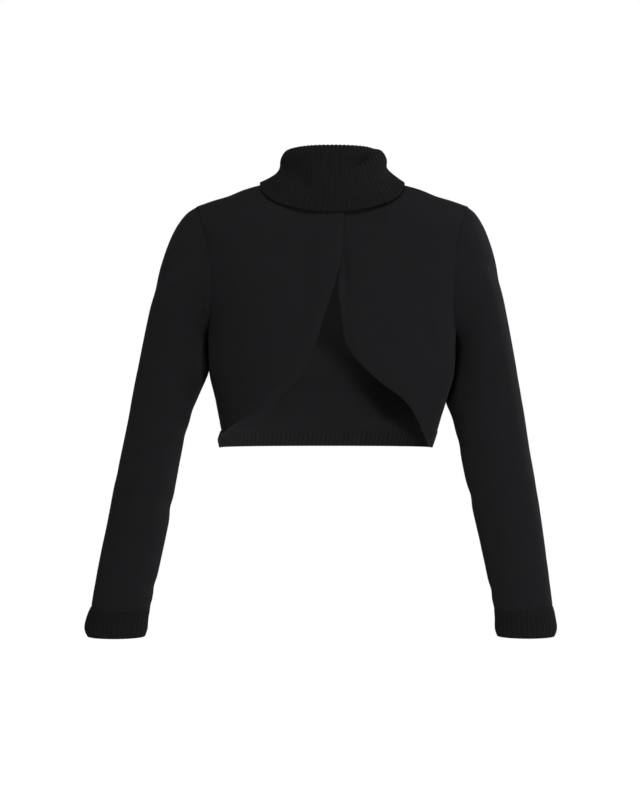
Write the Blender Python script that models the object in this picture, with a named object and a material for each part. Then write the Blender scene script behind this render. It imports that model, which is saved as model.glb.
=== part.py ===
"""Cropped roll-neck sweater, open at the front, filled out as if it were worn.

The fronts lap at the chest and are cut away in curves down to the side seams, the back ends in
a ribbed band, the sleeves are set in and end in ribbed cuffs, and a ribbed roll neck is turned
down over the neckline. Every piece is one knitted wall. Sizes are in metres. Z is up, the front
faces -Y, and the wearer's left is +X. The origin is at the foot of the neck.
"""

import math

import bmesh
import bpy
import numpy as np

# The cloth.
CLOTH = 0.0020
SEAM = 0.0003
RIB_HEIGHT = 0.0009

# Body levels, from the hem to the neck: the side seams of both sides and the depths on the centre line.
BODY_COLUMNS = ("height", "right_x", "left_x", "front", "back")
BODY_ROWS = (
    (-0.370, -0.1548, 0.1380, 0.086, 0.089),
    (-0.344, -0.1545, 0.1465, 0.090, 0.088),
    (-0.325, -0.1582, 0.1520, 0.094, 0.087),
    (-0.300, -0.1630, 0.1598, 0.099, 0.087),
    (-0.256, -0.1722, 0.1712, 0.105, 0.091),
    (-0.212, -0.1733, 0.1727, 0.106, 0.096),
    (-0.150, -0.1800, 0.1800, 0.101, 0.101),
    (-0.100, -0.1880, 0.1880, 0.091, 0.098),
    (-0.060, -0.1960, 0.1960, 0.079, 0.088),
    (-0.020, -0.2060, 0.2060, 0.064, 0.077),
    (0.020, -0.2160, 0.2160, 0.050, 0.067),
)
BODY_SQUARENESS = 2.4

# The shoulder line: a row for each distance from the centre line.
SHOULDER_COLUMNS = ("reach", "height")
SHOULDER_ROWS = (
    (0.074, 0.0060),
    (0.101, 0.0006),
    (0.123, -0.0057),
    (0.146, -0.0150),
    (0.168, -0.0215),
    (0.189, -0.0290),
)
SHOULDER_Y = 0.004
SHOULDER_ROUNDING = 0.056

# The neckline, an oval that dips to the front.
NECK_WIDTH = 0.148
NECK_FRONT = 0.066
NECK_BACK = 0.060
NECK_FRONT_Z = -0.030
NECK_BACK_Z = 0.003
NECK_SIDE_Z = 0.006
NECK_SEAM = 0.0009

# The armholes, from the underarm over the front to the shoulder point and back.
UNDERARM_Z = -0.212
SHOULDER_POINT_X = 0.189
ARMHOLE_HOLLOW = 0.014
ARMHOLE_TILT = 0.30
ARMHOLE_POINTS = 24

# The cut-away edges of the fronts, from the neckline down.
EDGE_COLUMNS = ("height", "edge_x")
RIGHT_EDGE_ROWS = (
    (-0.346, -0.1515),
    (-0.333, -0.1330),
    (-0.318, -0.1090),
    (-0.297, -0.0780),
    (-0.2808, -0.0556),
    (-0.2577, -0.0372),
    (-0.2213, -0.0214),
    (-0.1790, -0.0093),
    (-0.1385, 0.0047),
    (-0.0880, 0.0142),
    (-0.0300, 0.0160),
)
LEFT_EDGE_ROWS = (
    (-0.3650, 0.1360),
    (-0.3413, 0.1236),
    (-0.3245, 0.1150),
    (-0.3010, 0.0977),
    (-0.2778, 0.0670),
    (-0.2471, 0.0339),
    (-0.2328, 0.0233),
    (-0.2194, 0.0166),
    (-0.1694, 0.0099),
    (-0.1385, 0.0047),
    (-0.0300, -0.0040),
)
RIGHT_FRONT_FOOT = -0.3455
LEFT_FRONT_FOOT = -0.3645
BACK_FOOT = -0.3440
LAP_START_X = -0.040
LAP_END_X = -0.008
LAP_OUT_SEWN = 0.0026
LAP_OUT_FREE = 0.0052
LAP_SEWN_TO_Z = -0.070
LAP_ENDS_Z = -0.1385
LAP_ROLL = 0.0022
EDGE_ROLL = 0.0045
EDGE_ROLL_WIDTH = 0.018
LAP_SETTLES = 0.020
ROLL_GROWS = 0.050
ROLL_FADES_FROM_Z = -0.290
ROLL_FADES_TO_Z = -0.340
LEFT_ROLL_SHARE = 0.4
NECK_STEPS = 8
SHOULDER_STEPS = 6
SIDE_ROWS = 9

# The hem band.
HEM_TOP = -0.3443
HEM_FOOT = -0.3665
HEM_OUT = 0.0008
HEM_FLARE = 0.0045
HEM_FLARE_WIDTH = 0.020
HEM_RIBS = 60

# Sleeves: a row for each ring. The outer and inner points lie on the sleeve's two sides.
SLEEVE_COLUMNS = ("outer_x", "outer_z", "inner_x", "inner_z", "front", "back", "middle_y")
LEFT_SLEEVE_ROWS = (
    (0.1890, -0.0290, 0.1730, -0.2120, 0.0500, 0.0520, 0.0020),
    (0.2006, -0.0390, 0.1743, -0.2150, 0.0505, 0.0525, 0.0030),
    (0.2153, -0.0640, 0.1747, -0.2210, 0.0510, 0.0530, 0.0050),
    (0.2292, -0.1060, 0.1745, -0.2300, 0.0505, 0.0525, 0.0080),
    (0.2421, -0.1650, 0.1740, -0.2430, 0.0495, 0.0515, 0.0110),
    (0.2551, -0.2320, 0.1718, -0.2640, 0.0480, 0.0500, 0.0140),
    (0.2669, -0.3000, 0.1617, -0.3010, 0.0465, 0.0480, 0.0150),
    (0.2706, -0.3220, 0.1672, -0.3220, 0.0455, 0.0470, 0.0145),
    (0.2772, -0.3670, 0.1786, -0.3670, 0.0435, 0.0450, 0.0125),
    (0.2839, -0.4060, 0.1865, -0.4060, 0.0420, 0.0435, 0.0100),
    (0.2909, -0.4510, 0.1964, -0.4510, 0.0400, 0.0410, 0.0060),
    (0.2967, -0.4960, 0.2064, -0.4960, 0.0375, 0.0385, 0.0010),
    (0.3020, -0.5400, 0.2156, -0.5400, 0.0350, 0.0355, -0.0050),
    (0.3073, -0.5885, 0.2250, -0.5885, 0.0315, 0.0320, -0.0120),
)
RIGHT_SLEEVE_ROWS = (
    (-0.1890, -0.0290, -0.1735, -0.2120, 0.0500, 0.0520, 0.0020),
    (-0.2036, -0.0390, -0.1750, -0.2150, 0.0505, 0.0525, 0.0025),
    (-0.2215, -0.0640, -0.1754, -0.2210, 0.0510, 0.0530, 0.0035),
    (-0.2380, -0.1060, -0.1753, -0.2300, 0.0505, 0.0525, 0.0050),
    (-0.2537, -0.1650, -0.1748, -0.2420, 0.0495, 0.0515, 0.0065),
    (-0.2679, -0.2320, -0.1746, -0.2575, 0.0480, 0.0500, 0.0075),
    (-0.2813, -0.3000, -0.1880, -0.2960, 0.0465, 0.0480, 0.0075),
    (-0.2850, -0.3220, -0.1972, -0.3220, 0.0455, 0.0470, 0.0070),
    (-0.2940, -0.3670, -0.2097, -0.3670, 0.0430, 0.0445, 0.0050),
    (-0.3044, -0.4170, -0.2191, -0.4170, 0.0410, 0.0425, 0.0020),
    (-0.3147, -0.4730, -0.2288, -0.4730, 0.0385, 0.0395, -0.0030),
    (-0.3237, -0.5180, -0.2380, -0.5180, 0.0360, 0.0370, -0.0080),
    (-0.3316, -0.5630, -0.2478, -0.5630, 0.0335, 0.0340, -0.0130),
    (-0.3354, -0.5885, -0.2533, -0.5885, 0.0315, 0.0320, -0.0160),
)
SLEEVE_RINGS = 19
ELBOW_RING = 12
SLEEVE_TOP_CROWDING = 1.45
HEAD_BLEND = 0.20

# Cuffs: a row for each ring, with the same columns as the sleeves.
LEFT_CUFF_ROWS = (
    (0.3078, -0.5888, 0.2258, -0.5888, 0.0320, 0.0325, -0.0120),
    (0.3108, -0.6060, 0.2272, -0.6060, 0.0328, 0.0333, -0.0130),
    (0.3116, -0.6200, 0.2276, -0.6200, 0.0328, 0.0333, -0.0136),
    (0.3085, -0.6285, 0.2305, -0.6285, 0.0312, 0.0317, -0.0140),
)
RIGHT_CUFF_ROWS = (
    (-0.3362, -0.5888, -0.2535, -0.5888, 0.0320, 0.0325, -0.0160),
    (-0.3420, -0.6060, -0.2566, -0.6060, 0.0328, 0.0333, -0.0170),
    (-0.3430, -0.6200, -0.2580, -0.6200, 0.0328, 0.0333, -0.0176),
    (-0.3390, -0.6285, -0.2612, -0.6285, 0.0312, 0.0317, -0.0180),
)
CUFF_RIBS = 34

# Collar: a row for each ring of the side that shows, from the fold's inside over the top and down.
COLLAR_COLUMNS = ("half_width", "front", "back", "side_z", "front_z", "back_z")
COLLAR_ROWS = (
    (0.0620, 0.0570, 0.0550, 0.0320, 0.0330, 0.0400),
    (0.0622, 0.0575, 0.0555, 0.0405, 0.0430, 0.0490),
    (0.0662, 0.0620, 0.0600, 0.0460, 0.0482, 0.0535),
    (0.0712, 0.0662, 0.0638, 0.0410, 0.0430, 0.0490),
    (0.0750, 0.0700, 0.0690, 0.0245, 0.0180, 0.0250),
    (0.0862, 0.0765, 0.0790, 0.0125, -0.0120, 0.0020),
)
COLLAR_X = 0.0022
COLLAR_EDGE_REACH = 0.1000
COLLAR_EDGE_FRONT_Z = -0.0455
COLLAR_EDGE_BACK_Z = -0.0250
COLLAR_EDGE_ROUNDING = 0.85
COLLAR_LIFT = 0.0012
COLLAR_FRONT_LIFT = 0.0030
COLLAR_SQUARENESS = 2.2
COLLAR_RIBS = 72

# Soft folds on the body: centre, the direction they run in, half length, half width and depth.
# A minus depth is a trough.
BODY_FOLD_COLUMNS = ("x", "z", "degrees", "length", "width", "depth")
FRONT_FOLD_ROWS = (
    (-0.137, -0.215, 62.0, 0.055, 0.013, -0.0030),
    (-0.118, -0.255, 48.0, 0.050, 0.014, -0.0022),
    (0.134, -0.222, 118.0, 0.055, 0.013, -0.0028),
    (0.108, -0.262, 128.0, 0.048, 0.015, -0.0024),
    (0.090, -0.215, 95.0, 0.050, 0.020, 0.0020),
    (0.112, -0.262, 91.0, 0.062, 0.016, 0.0030),
)
BACK_FOLD_ROWS = (
    (-0.128, -0.210, 58.0, 0.060, 0.015, -0.0030),
    (0.126, -0.214, 122.0, 0.060, 0.015, -0.0030),
    (-0.055, -0.275, 82.0, 0.060, 0.018, -0.0022),
    (0.048, -0.265, 98.0, 0.065, 0.018, -0.0022),
)
# Soft folds round the sleeves: the angle from the underarm by way of the front, height, slope,
# half sizes and depth.
SLEEVE_FOLD_COLUMNS = ("angle", "z", "slope", "spread", "width", "depth")
LEFT_SLEEVE_FOLD_ROWS = (
    (30.0, -0.285, 0.020, 55.0, 0.012, -0.0030),
    (40.0, -0.372, -0.016, 60.0, 0.013, -0.0026),
    (20.0, -0.430, 0.012, 60.0, 0.012, -0.0024),
    (150.0, -0.120, -0.020, 45.0, 0.018, -0.0022),
    (35.0, -0.562, 0.006, 70.0, 0.009, -0.0020),
    (300.0, -0.350, 0.020, 60.0, 0.014, -0.0026),
)
RIGHT_SLEEVE_FOLD_ROWS = (
    (35.0, -0.275, 0.024, 55.0, 0.012, -0.0030),
    (45.0, -0.360, -0.014, 60.0, 0.013, -0.0024),
    (25.0, -0.445, 0.014, 60.0, 0.012, -0.0024),
    (145.0, -0.130, -0.022, 45.0, 0.018, -0.0022),
    (30.0, -0.556, 0.006, 70.0, 0.009, -0.0018),
    (310.0, -0.330, 0.018, 60.0, 0.014, -0.0026),
)

# Steps round a section when its length is measured, and the angle past which an edge stays sharp.
FINE_STEPS = 720
SHARP_DEGREES = 50.0

BLACK_KNIT = (0.011, 0.011, 0.013, 1.0)
BLACK_RIB = (0.012, 0.012, 0.014, 1.0)
KNIT_ROUGHNESS = 0.85


def clear_scene():
    for obj in list(bpy.data.objects):
        bpy.data.objects.remove(obj, do_unlink=True)


def smooth_table(columns, rows, along=None):
    """A function of one number that reads every column of a table, by smooth curves that don't overshoot."""
    values = np.array(rows, dtype=float)
    places = values[:, 0] if along is None else np.asarray(along, dtype=float)
    steps = np.diff(places)
    rises = np.diff(values, axis=0) / steps[:, None]
    slopes = np.zeros_like(values)
    slopes[0], slopes[-1] = rises[0], rises[-1]
    before, after = rises[:-1], rises[1:]
    same_way = before * after > 0
    safe = np.where(same_way, before + after, 1.0)
    slopes[1:-1] = np.where(same_way, 2.0 * before * after / safe, 0.0)

    def read(place):
        place = float(np.clip(place, places[0], places[-1]))
        k = int(np.clip(np.searchsorted(places, place) - 1, 0, len(steps) - 1))
        t = (place - places[k]) / steps[k]
        low = (1 + 2 * t) * (1 - t) ** 2 * values[k] + t * t * (3 - 2 * t) * values[k + 1]
        bend = t * (1 - t) ** 2 * slopes[k] - t * t * (1 - t) * slopes[k + 1]
        return dict(zip(columns, low + bend * steps[k]))

    return read


body_at = smooth_table(BODY_COLUMNS, BODY_ROWS)
shoulder_at = smooth_table(SHOULDER_COLUMNS, SHOULDER_ROWS)


def ramp(value, start, end):
    """0 before start, 1 after end, and a soft step between."""
    t = float(np.clip((value - start) / (end - start), 0.0, 1.0))
    return t * t * (3 - 2 * t)


def unit(vectors):
    vectors = np.asarray(vectors, dtype=float)
    return vectors / np.linalg.norm(vectors, axis=-1, keepdims=True)


def neckline(angle):
    """A point of the neckline. Angle 0 is the centre front and a quarter turn is the wearer's left."""
    forward = math.cos(angle)
    depth = NECK_FRONT if forward > 0 else NECK_BACK
    end_z = NECK_FRONT_Z if forward > 0 else NECK_BACK_Z
    height = NECK_SIDE_Z + (end_z - NECK_SIDE_Z) * abs(forward) ** 1.2
    across = 0.5 * NECK_WIDTH * math.sin(angle)
    return np.array([across, SHOULDER_Y - (depth + SHOULDER_Y) * forward, height])


def top_line(x, face):
    """The depth and height of the body's upper edge at x: the neckline, then the shoulder seam."""
    reach = abs(x)
    if reach < 0.5 * NECK_WIDTH:
        angle = math.asin(x / (0.5 * NECK_WIDTH))
        point = neckline(angle if face < 0 else math.pi - angle)
        return point[1], point[2]
    return SHOULDER_Y, shoulder_at(reach)["height"]


def fold_height(x, z, rows):
    """How far the cloth's soft folds raise or sink it at x and z."""
    total = 0.0
    for row in rows:
        fold = dict(zip(BODY_FOLD_COLUMNS, row))
        turn = math.radians(fold["degrees"])
        dx, dz = x - fold["x"], z - fold["z"]
        along = dx * math.cos(turn) + dz * math.sin(turn)
        across = dz * math.cos(turn) - dx * math.sin(turn)
        total += fold["depth"] * math.exp(-((along / fold["length"]) ** 2) - (across / fold["width"]) ** 2)
    return total


def body_depth(x, z, face):
    """The body surface's Y at x and z, on the front (face -1) or the back (face 1)."""
    level = body_at(z)
    middle = 0.5 * (level["left_x"] + level["right_x"])
    half = 0.5 * (level["left_x"] - level["right_x"])
    depth = level["front"] if face < 0 else level["back"]
    share = min(abs(x - middle) / half, 1.0)
    base = face * depth * (1 - share**BODY_SQUARENESS) ** (1 / BODY_SQUARENESS)
    top_y, top_z = top_line(x, face)
    rise = 1 - (top_z - z) / SHOULDER_ROUNDING
    pull = 1 - math.sqrt(1 - min(max(rise, 0.0), 1.0) ** 2)
    rows = FRONT_FOLD_ROWS if face < 0 else BACK_FOLD_ROWS
    fold = fold_height(x, z, rows) * (1 - share**6)
    return base + (top_y - base) * pull + face * fold


def turn_of(x, z):
    """The angle round the body, from the centre line, at which the side seam's quarter turn is reached."""
    level = body_at(z)
    middle = 0.5 * (level["left_x"] + level["right_x"])
    half = 0.5 * (level["left_x"] - level["right_x"])
    share = float(np.clip((x - middle) / half, -1.0, 1.0))
    return math.copysign(math.asin(abs(share) ** (BODY_SQUARENESS / 2)), share)


def x_of(turn, z):
    level = body_at(z)
    middle = 0.5 * (level["left_x"] + level["right_x"])
    half = 0.5 * (level["left_x"] - level["right_x"])
    return middle + half * math.copysign(abs(math.sin(turn)) ** (2 / BODY_SQUARENESS), turn)


def armhole_point(side, angle):
    """A point of the armhole. Angle 0 is the underarm, a quarter turn the front, a half turn the shoulder."""
    top_z = shoulder_at(SHOULDER_POINT_X)["height"]
    rise = 0.5 * (1 - math.cos(angle))
    z = UNDERARM_Z + (top_z - UNDERARM_Z) * rise
    seam = abs(body_at(UNDERARM_Z)["left_x" if side > 0 else "right_x"])
    x = side * (seam + (SHOULDER_POINT_X - seam) * rise - ARMHOLE_HOLLOW * math.sin(angle) ** 2)
    face = -1 if math.sin(angle) >= 0 else 1
    if rise < 1e-6:
        return np.array([x, 0.0, z])
    if rise > 1 - 1e-6:
        return np.array([x, SHOULDER_Y, z])
    return np.array([x, body_depth(x, z, face), z])


def armhole(side):
    """The armhole's points, the seam's outward directions, and the directions from the body to the sleeve."""
    angles = [2 * math.pi * k / ARMHOLE_POINTS for k in range(ARMHOLE_POINTS)]
    points = np.array([armhole_point(side, angle) for angle in angles])
    outward = points - points.mean(axis=0)
    outward[:, 0] = side * ARMHOLE_TILT * np.linalg.norm(outward[:, 1:], axis=1)
    # The underarm and the shoulder point lie on the other seams, so their directions stay in that plane.
    outward[0, 1] = 0.0
    outward[ARMHOLE_POINTS // 2, 1] = 0.0
    outward = unit(outward)
    tangent = np.roll(points, -1, axis=0) - np.roll(points, 1, axis=0)
    across = unit(np.cross(tangent, outward))
    across *= np.sign(across[:, :1]) * side
    return points, outward, across


def grid_normals(grid, around):
    """Unit normals of a grid of points. Their sign follows the grid's own order."""
    if around:
        sideways = np.roll(grid, -1, axis=1) - np.roll(grid, 1, axis=1)
    else:
        sideways = np.gradient(grid, axis=1)
    lengthways = np.gradient(grid, axis=0)
    return unit(np.cross(sideways, lengthways))


def wall_object(name, shown, hidden, around, material, collection):
    """One closed wall between two grids of points, rows by columns."""
    rows, columns = shown.shape[:2]
    mesh = bpy.data.meshes.new(name)
    bm = bmesh.new()
    front = [[bm.verts.new(p) for p in row] for row in shown]
    rear = [[bm.verts.new(p) for p in row] for row in hidden]
    last = columns if around else columns - 1
    for r in range(rows - 1):
        for c in range(last):
            n = (c + 1) % columns
            bm.faces.new((front[r][c], front[r][n], front[r + 1][n], front[r + 1][c]))
            bm.faces.new((rear[r][c], rear[r + 1][c], rear[r + 1][n], rear[r][n]))
    for r in (0, rows - 1):
        for c in range(last):
            n = (c + 1) % columns
            bm.faces.new((front[r][c], rear[r][c], rear[r][n], front[r][n]))
    if not around:
        for c in (0, columns - 1):
            for r in range(rows - 1):
                bm.faces.new((front[r][c], front[r + 1][c], rear[r + 1][c], rear[r][c]))
    bmesh.ops.recalc_face_normals(bm, faces=bm.faces)
    bm.to_mesh(mesh)
    bm.free()
    mesh.shade_smooth()
    mesh.set_sharp_from_angle(angle=math.radians(SHARP_DEGREES))
    mesh.materials.append(material)
    obj = bpy.data.objects.new(name, mesh)
    collection.objects.link(obj)
    return obj


def knit_material(name, colour):
    material = bpy.data.materials.new(name)
    material.use_nodes = True
    shader = material.node_tree.nodes["Principled BSDF"]
    shader.inputs["Base Color"].default_value = colour
    shader.inputs["Roughness"].default_value = KNIT_ROUGHNESS
    shader.inputs["Metallic"].default_value = 0.0
    return material


def top_shares(face, first_x, last_x):
    """Where a panel's columns meet the neckline and the shoulder seams, as shares of its upper edge."""
    neck_half = 0.5 * NECK_WIDTH
    side = math.copysign(1.0, last_x)
    start = math.asin(max(first_x * side / neck_half, -1.0))
    angles = start + (0.5 * math.pi - start) * np.arange(NECK_STEPS) / NECK_STEPS
    places = [side * neck_half * math.sin(angle) for angle in angles]
    shoulder = np.linspace(neck_half, abs(last_x), SHOULDER_STEPS + 1)
    places += [side * reach for reach in shoulder]
    if face > 0:
        angles = np.linspace(-0.5 * math.pi, 0.5 * math.pi, 2 * NECK_STEPS - 1)
        places = [-reach for reach in shoulder[:0:-1]]
        places += [neck_half * math.sin(angle) for angle in angles]
        places += list(shoulder[1:])
    turns = np.array([turn_of(x, top_line(x, face)[1]) for x in places])
    return (turns - turns[0]) / (turns[-1] - turns[0])


def panel_grid(face, foot, start_turn, end_turn, shares, arm_start, arm_end):
    """Points of a body panel, from its foot to the neckline and shoulder, between two edges.

    start_turn and end_turn give the edge's angle at a height. arm_start and arm_end are the
    armhole points that bound the rows above the underarm, or None where the edge runs on.
    """
    levels = [foot + (UNDERARM_Z - foot) * k / SIDE_ROWS for k in range(SIDE_ROWS)]
    rises = [0.5 * (1 - math.cos(2 * math.pi * k / ARMHOLE_POINTS)) for k in range(ARMHOLE_POINTS // 2 + 1)]
    even = np.linspace(0.0, 1.0, len(shares))
    grid = []
    for z in levels:
        first, last = start_turn(z), end_turn(z)
        row = []
        for share in even:
            x = x_of(first + (last - first) * share, z)
            row.append((x, body_depth(x, z, face), z))
        grid.append(row)
    for k, rise in enumerate(rises):
        row = []
        for share in even + (shares - even) * rise:
            x, z = 0.0, UNDERARM_Z + (NECK_FRONT_Z - UNDERARM_Z) * rise
            for _ in range(12):
                first = start_turn(z) if arm_start is None else turn_of(arm_start[k][0], arm_start[k][2])
                last = end_turn(z) if arm_end is None else turn_of(arm_end[k][0], arm_end[k][2])
                x = x_of(first + (last - first) * share, z)
                z = UNDERARM_Z + (top_line(x, face)[1] - UNDERARM_Z) * rise
            row.append((x, body_depth(x, z, face), z))
        if arm_start is not None:
            row[0] = tuple(arm_start[k])
        if arm_end is not None:
            row[-1] = tuple(arm_end[k])
        grid.append(row)
    return np.array(grid)


def set_top_normals(normals, grid):
    """At the shoulder seam and the neckline the cloth's thickness goes straight down."""
    normals[-1, :, 1] = 0.0
    on_neck = np.abs(grid[-1, :, 0]) < 0.5 * NECK_WIDTH
    normals[-1, on_neck] = (0.0, 0.0, 1.0)
    normals[-1] = unit(normals[-1])


def seat_edges(grid, normals, side, column, face, hole):
    """Moves one side edge of a panel to its seams: the side seam below the underarm, the armhole above it."""
    points, outward, across = hole
    half = ARMHOLE_POINTS // 2
    order = [k if face < 0 else -k % ARMHOLE_POINTS for k in range(half + 1)]
    first = SIDE_ROWS
    grid[:first, column, 1] += face * 0.5 * SEAM
    normals[:first, column] = (side, 0.0, 0.0)
    for k, index in enumerate(order):
        grid[first + k, column] = points[index] - 0.5 * SEAM * across[index]
        normals[first + k, column] = outward[index]
    grid[first, column, 1] = face * 0.5 * SEAM
    grid[-1, column, 1] = SHOULDER_Y + face * 0.5 * SEAM


def shape_edge(grid, side, edge_at):
    """Rolls a front's free edge inwards and, on the wearer's right, lifts it over the other front."""
    step = 0.002
    for point in grid.reshape(-1, 3):
        z = point[2]
        slope = (edge_at(z + step)["edge_x"] - edge_at(z - step)["edge_x"]) / (2 * step)
        away = abs(point[0] - edge_at(z)["edge_x"]) / math.hypot(1.0, slope)
        near = max(0.0, 1 - away / EDGE_ROLL_WIDTH) ** 2
        below = ramp(-z, -LAP_ENDS_Z, -LAP_ENDS_Z + ROLL_GROWS)
        fading = ramp(z, ROLL_FADES_TO_Z, ROLL_FADES_FROM_Z)
        free = ramp(-z, -LAP_SEWN_TO_Z - LAP_SETTLES, -LAP_SEWN_TO_Z + LAP_SETTLES)
        if side < 0:
            point[1] += near * fading * (LAP_ROLL * free * (1 - below) + EDGE_ROLL * below)
            lap = LAP_OUT_SEWN + (LAP_OUT_FREE - LAP_OUT_SEWN) * free
            point[1] -= lap * ramp(point[0], LAP_START_X, LAP_END_X)
        else:
            point[1] += near * fading * free * LEFT_ROLL_SHARE * EDGE_ROLL


def front_panel(name, side, holes, collection, material):
    """One front. Side is -1 for the wearer's right, whose edge laps over the other."""
    rows = RIGHT_EDGE_ROWS if side < 0 else LEFT_EDGE_ROWS
    foot = RIGHT_FRONT_FOOT if side < 0 else LEFT_FRONT_FOOT
    edge_at = smooth_table(EDGE_COLUMNS, rows)
    half = ARMHOLE_POINTS // 2
    arm = [holes[side][0][k] for k in range(half + 1)]
    shares = top_shares(-1, edge_at(NECK_FRONT_Z)["edge_x"], side * SHOULDER_POINT_X)
    grid = panel_grid(
        -1,
        foot,
        lambda z: turn_of(edge_at(z)["edge_x"], z),
        lambda z: side * 0.5 * math.pi,
        shares,
        None,
        arm,
    )
    shape_edge(grid, side, edge_at)
    normals = grid_normals(grid, False)
    normals *= np.sign(-normals[..., 1:2].mean())
    grid[-1, :, 1] -= 0.5 * SEAM
    set_top_normals(normals, grid)
    seat_edges(grid, normals, side, -1, -1, holes[side])
    hidden = grid - CLOTH * unit(normals)
    keep_behind_seams(hidden, -1)
    return wall_object(name, grid, hidden, False, material, collection)


def keep_behind_seams(hidden, face):
    """Keeps the wall's hidden side on its own side of the side seams and the shoulder seams."""
    limit = np.full(hidden.shape[:2], SHOULDER_Y)
    limit[: SIDE_ROWS + 1] = 0.0
    inside = face * (hidden[..., 1] - limit) < 0.5 * SEAM
    hidden[..., 1] = np.where(inside, limit + face * 0.5 * SEAM, hidden[..., 1])


def back_panel(holes, collection, material):
    half = ARMHOLE_POINTS // 2
    right_arm = [holes[-1][0][-k % ARMHOLE_POINTS] for k in range(half + 1)]
    left_arm = [holes[1][0][-k % ARMHOLE_POINTS] for k in range(half + 1)]
    shares = top_shares(1, -SHOULDER_POINT_X, SHOULDER_POINT_X)
    grid = panel_grid(
        1,
        BACK_FOOT,
        lambda z: -0.5 * math.pi,
        lambda z: 0.5 * math.pi,
        shares,
        right_arm,
        left_arm,
    )
    normals = grid_normals(grid, False)
    normals *= np.sign(normals[..., 1:2].mean())
    grid[-1, :, 1] += 0.5 * SEAM
    set_top_normals(normals, grid)
    seat_edges(grid, normals, -1, 0, 1, holes[-1])
    seat_edges(grid, normals, 1, -1, 1, holes[1])
    normals[0, :, 2] = 0.0
    hidden = grid - CLOTH * unit(normals)
    keep_behind_seams(hidden, 1)
    return wall_object("back", grid, hidden, False, material, collection)


def hem_band(collection, material):
    """The ribbed band that follows the back's lower edge, from side seam to side seam."""
    count = 2 * HEM_RIBS + 1
    levels = (HEM_TOP, 0.5 * (HEM_TOP + HEM_FOOT), HEM_FOOT)
    grid = []
    for z in levels:
        turns = np.linspace(-0.5 * math.pi, 0.5 * math.pi, FINE_STEPS + 1)
        dense = []
        for turn in turns:
            x = x_of(turn, z)
            dense.append((x, body_depth(x, z, 1), z))
        grid.append(spread_evenly(np.array(dense), count, False))
    grid = np.array(grid)
    normals = grid_normals(grid, False)
    normals *= np.sign(normals[..., 1:2].mean())
    normals[..., 2] = 0.0
    normals[:, 0] = (-1.0, 0.0, 0.0)
    normals[:, -1] = (1.0, 0.0, 0.0)
    normals = unit(normals)
    grid[:, (0, -1), 1] = 0.5 * SEAM
    ends = np.array([0.25, 1.0, 0.45])[:, None]
    reach = grid[..., 0] - grid[:, :1, 0]
    flare = HEM_FLARE * ends * np.clip(1 - reach / HEM_FLARE_WIDTH, 0.0, 1.0) ** 2
    grid = grid + normals * (HEM_OUT + flare)[..., None]
    raised = grid + normals * (RIB_HEIGHT * (np.arange(count) % 2))[None, :, None]
    return wall_object("hem_band", raised, grid - CLOTH * normals, False, material, collection)


def spread_evenly(points, count, around):
    """The same line of points with equal steps along it."""
    line = np.vstack([points, points[:1]]) if around else points
    lengths = np.concatenate([[0.0], np.cumsum(np.linalg.norm(np.diff(line, axis=0), axis=1))])
    places = np.linspace(0.0, lengths[-1], count + 1 if around else count)
    spread = np.stack([np.interp(places, lengths, line[:, k]) for k in range(3)], axis=1)
    return spread[:-1] if around else spread


def sleeve_section(row, angle):
    """A point of one ring, from the inner point by way of the front to the outer point and back."""
    share = 0.5 * (1 - math.cos(angle))
    x = row["inner_x"] + (row["outer_x"] - row["inner_x"]) * share
    z = row["inner_z"] + (row["outer_z"] - row["inner_z"]) * share
    swing = math.sin(angle)
    depth = row["front"] if swing > 0 else row["back"]
    return np.array([x, row["middle_y"] - depth * swing, z])


def sleeve_fold(angle, z, rows):
    total = 0.0
    for row in rows:
        fold = dict(zip(SLEEVE_FOLD_COLUMNS, row))
        away = (math.degrees(angle) - fold["angle"] + 180.0) % 360.0 - 180.0
        share = away / fold["spread"]
        lift = z - fold["z"] - fold["slope"] * share
        total += fold["depth"] * math.exp(-(share**2) - (lift / fold["width"]) ** 2)
    return total


def path_lengths(rows):
    """The length down the sleeve's outer side to each ring of its table."""
    outer = np.array([(row[0], row[1]) for row in rows])
    return np.concatenate([[0.0], np.cumsum(np.linalg.norm(np.diff(outer, axis=0), axis=1))])


def below_elbow(grid):
    """The rings from the elbow down, the first one a seam's width below the elbow."""
    lower = grid[ELBOW_RING:].copy()
    step = lower[1] - lower[0]
    lower[0] += step * SEAM / np.linalg.norm(step, axis=1, keepdims=True)
    return lower


def sleeve(name, side, rows, fold_rows, hole, collection, materials):
    """One sleeve, a tube from the armhole to the cuff, in two solids that meet at the elbow."""
    lengths = path_lengths(rows)
    row_at = smooth_table(SLEEVE_COLUMNS, rows, lengths)
    points, outward, across = hole
    angles = [2 * math.pi * k / ARMHOLE_POINTS for k in range(ARMHOLE_POINTS)]
    head = row_at(0.0)
    offsets = [points[k] - sleeve_section(head, angle) for k, angle in enumerate(angles)]
    grid = []
    for ring in range(SLEEVE_RINGS):
        share = (ring / (SLEEVE_RINGS - 1)) ** SLEEVE_TOP_CROWDING
        row = row_at(share * lengths[-1])
        fade = max(0.0, 1 - share / HEAD_BLEND) ** 2
        grid.append([sleeve_section(row, a) + fade * offsets[k] for k, a in enumerate(angles)])
    grid = np.array(grid)
    normals = grid_normals(grid, True)
    middle = grid.mean(axis=1, keepdims=True)
    normals *= np.sign(np.sum(normals * (grid - middle), axis=2).mean())
    for ring in range(2, SLEEVE_RINGS - 1):
        for k, angle in enumerate(angles):
            grid[ring, k] += sleeve_fold(angle, grid[ring, k, 2], fold_rows) * normals[ring, k]
    grid[0] = points + 0.5 * SEAM * across
    normals[0] = outward
    normals[-1, :, 2] = 0.0
    normals = unit(normals)
    hidden = grid - CLOTH * normals
    upper = slice(0, ELBOW_RING + 1)
    wall_object(f"{name}_upper", grid[upper], hidden[upper], True, materials[0], collection)
    wall_object(f"{name}_lower", below_elbow(grid), below_elbow(hidden), True, materials[1], collection)


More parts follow.
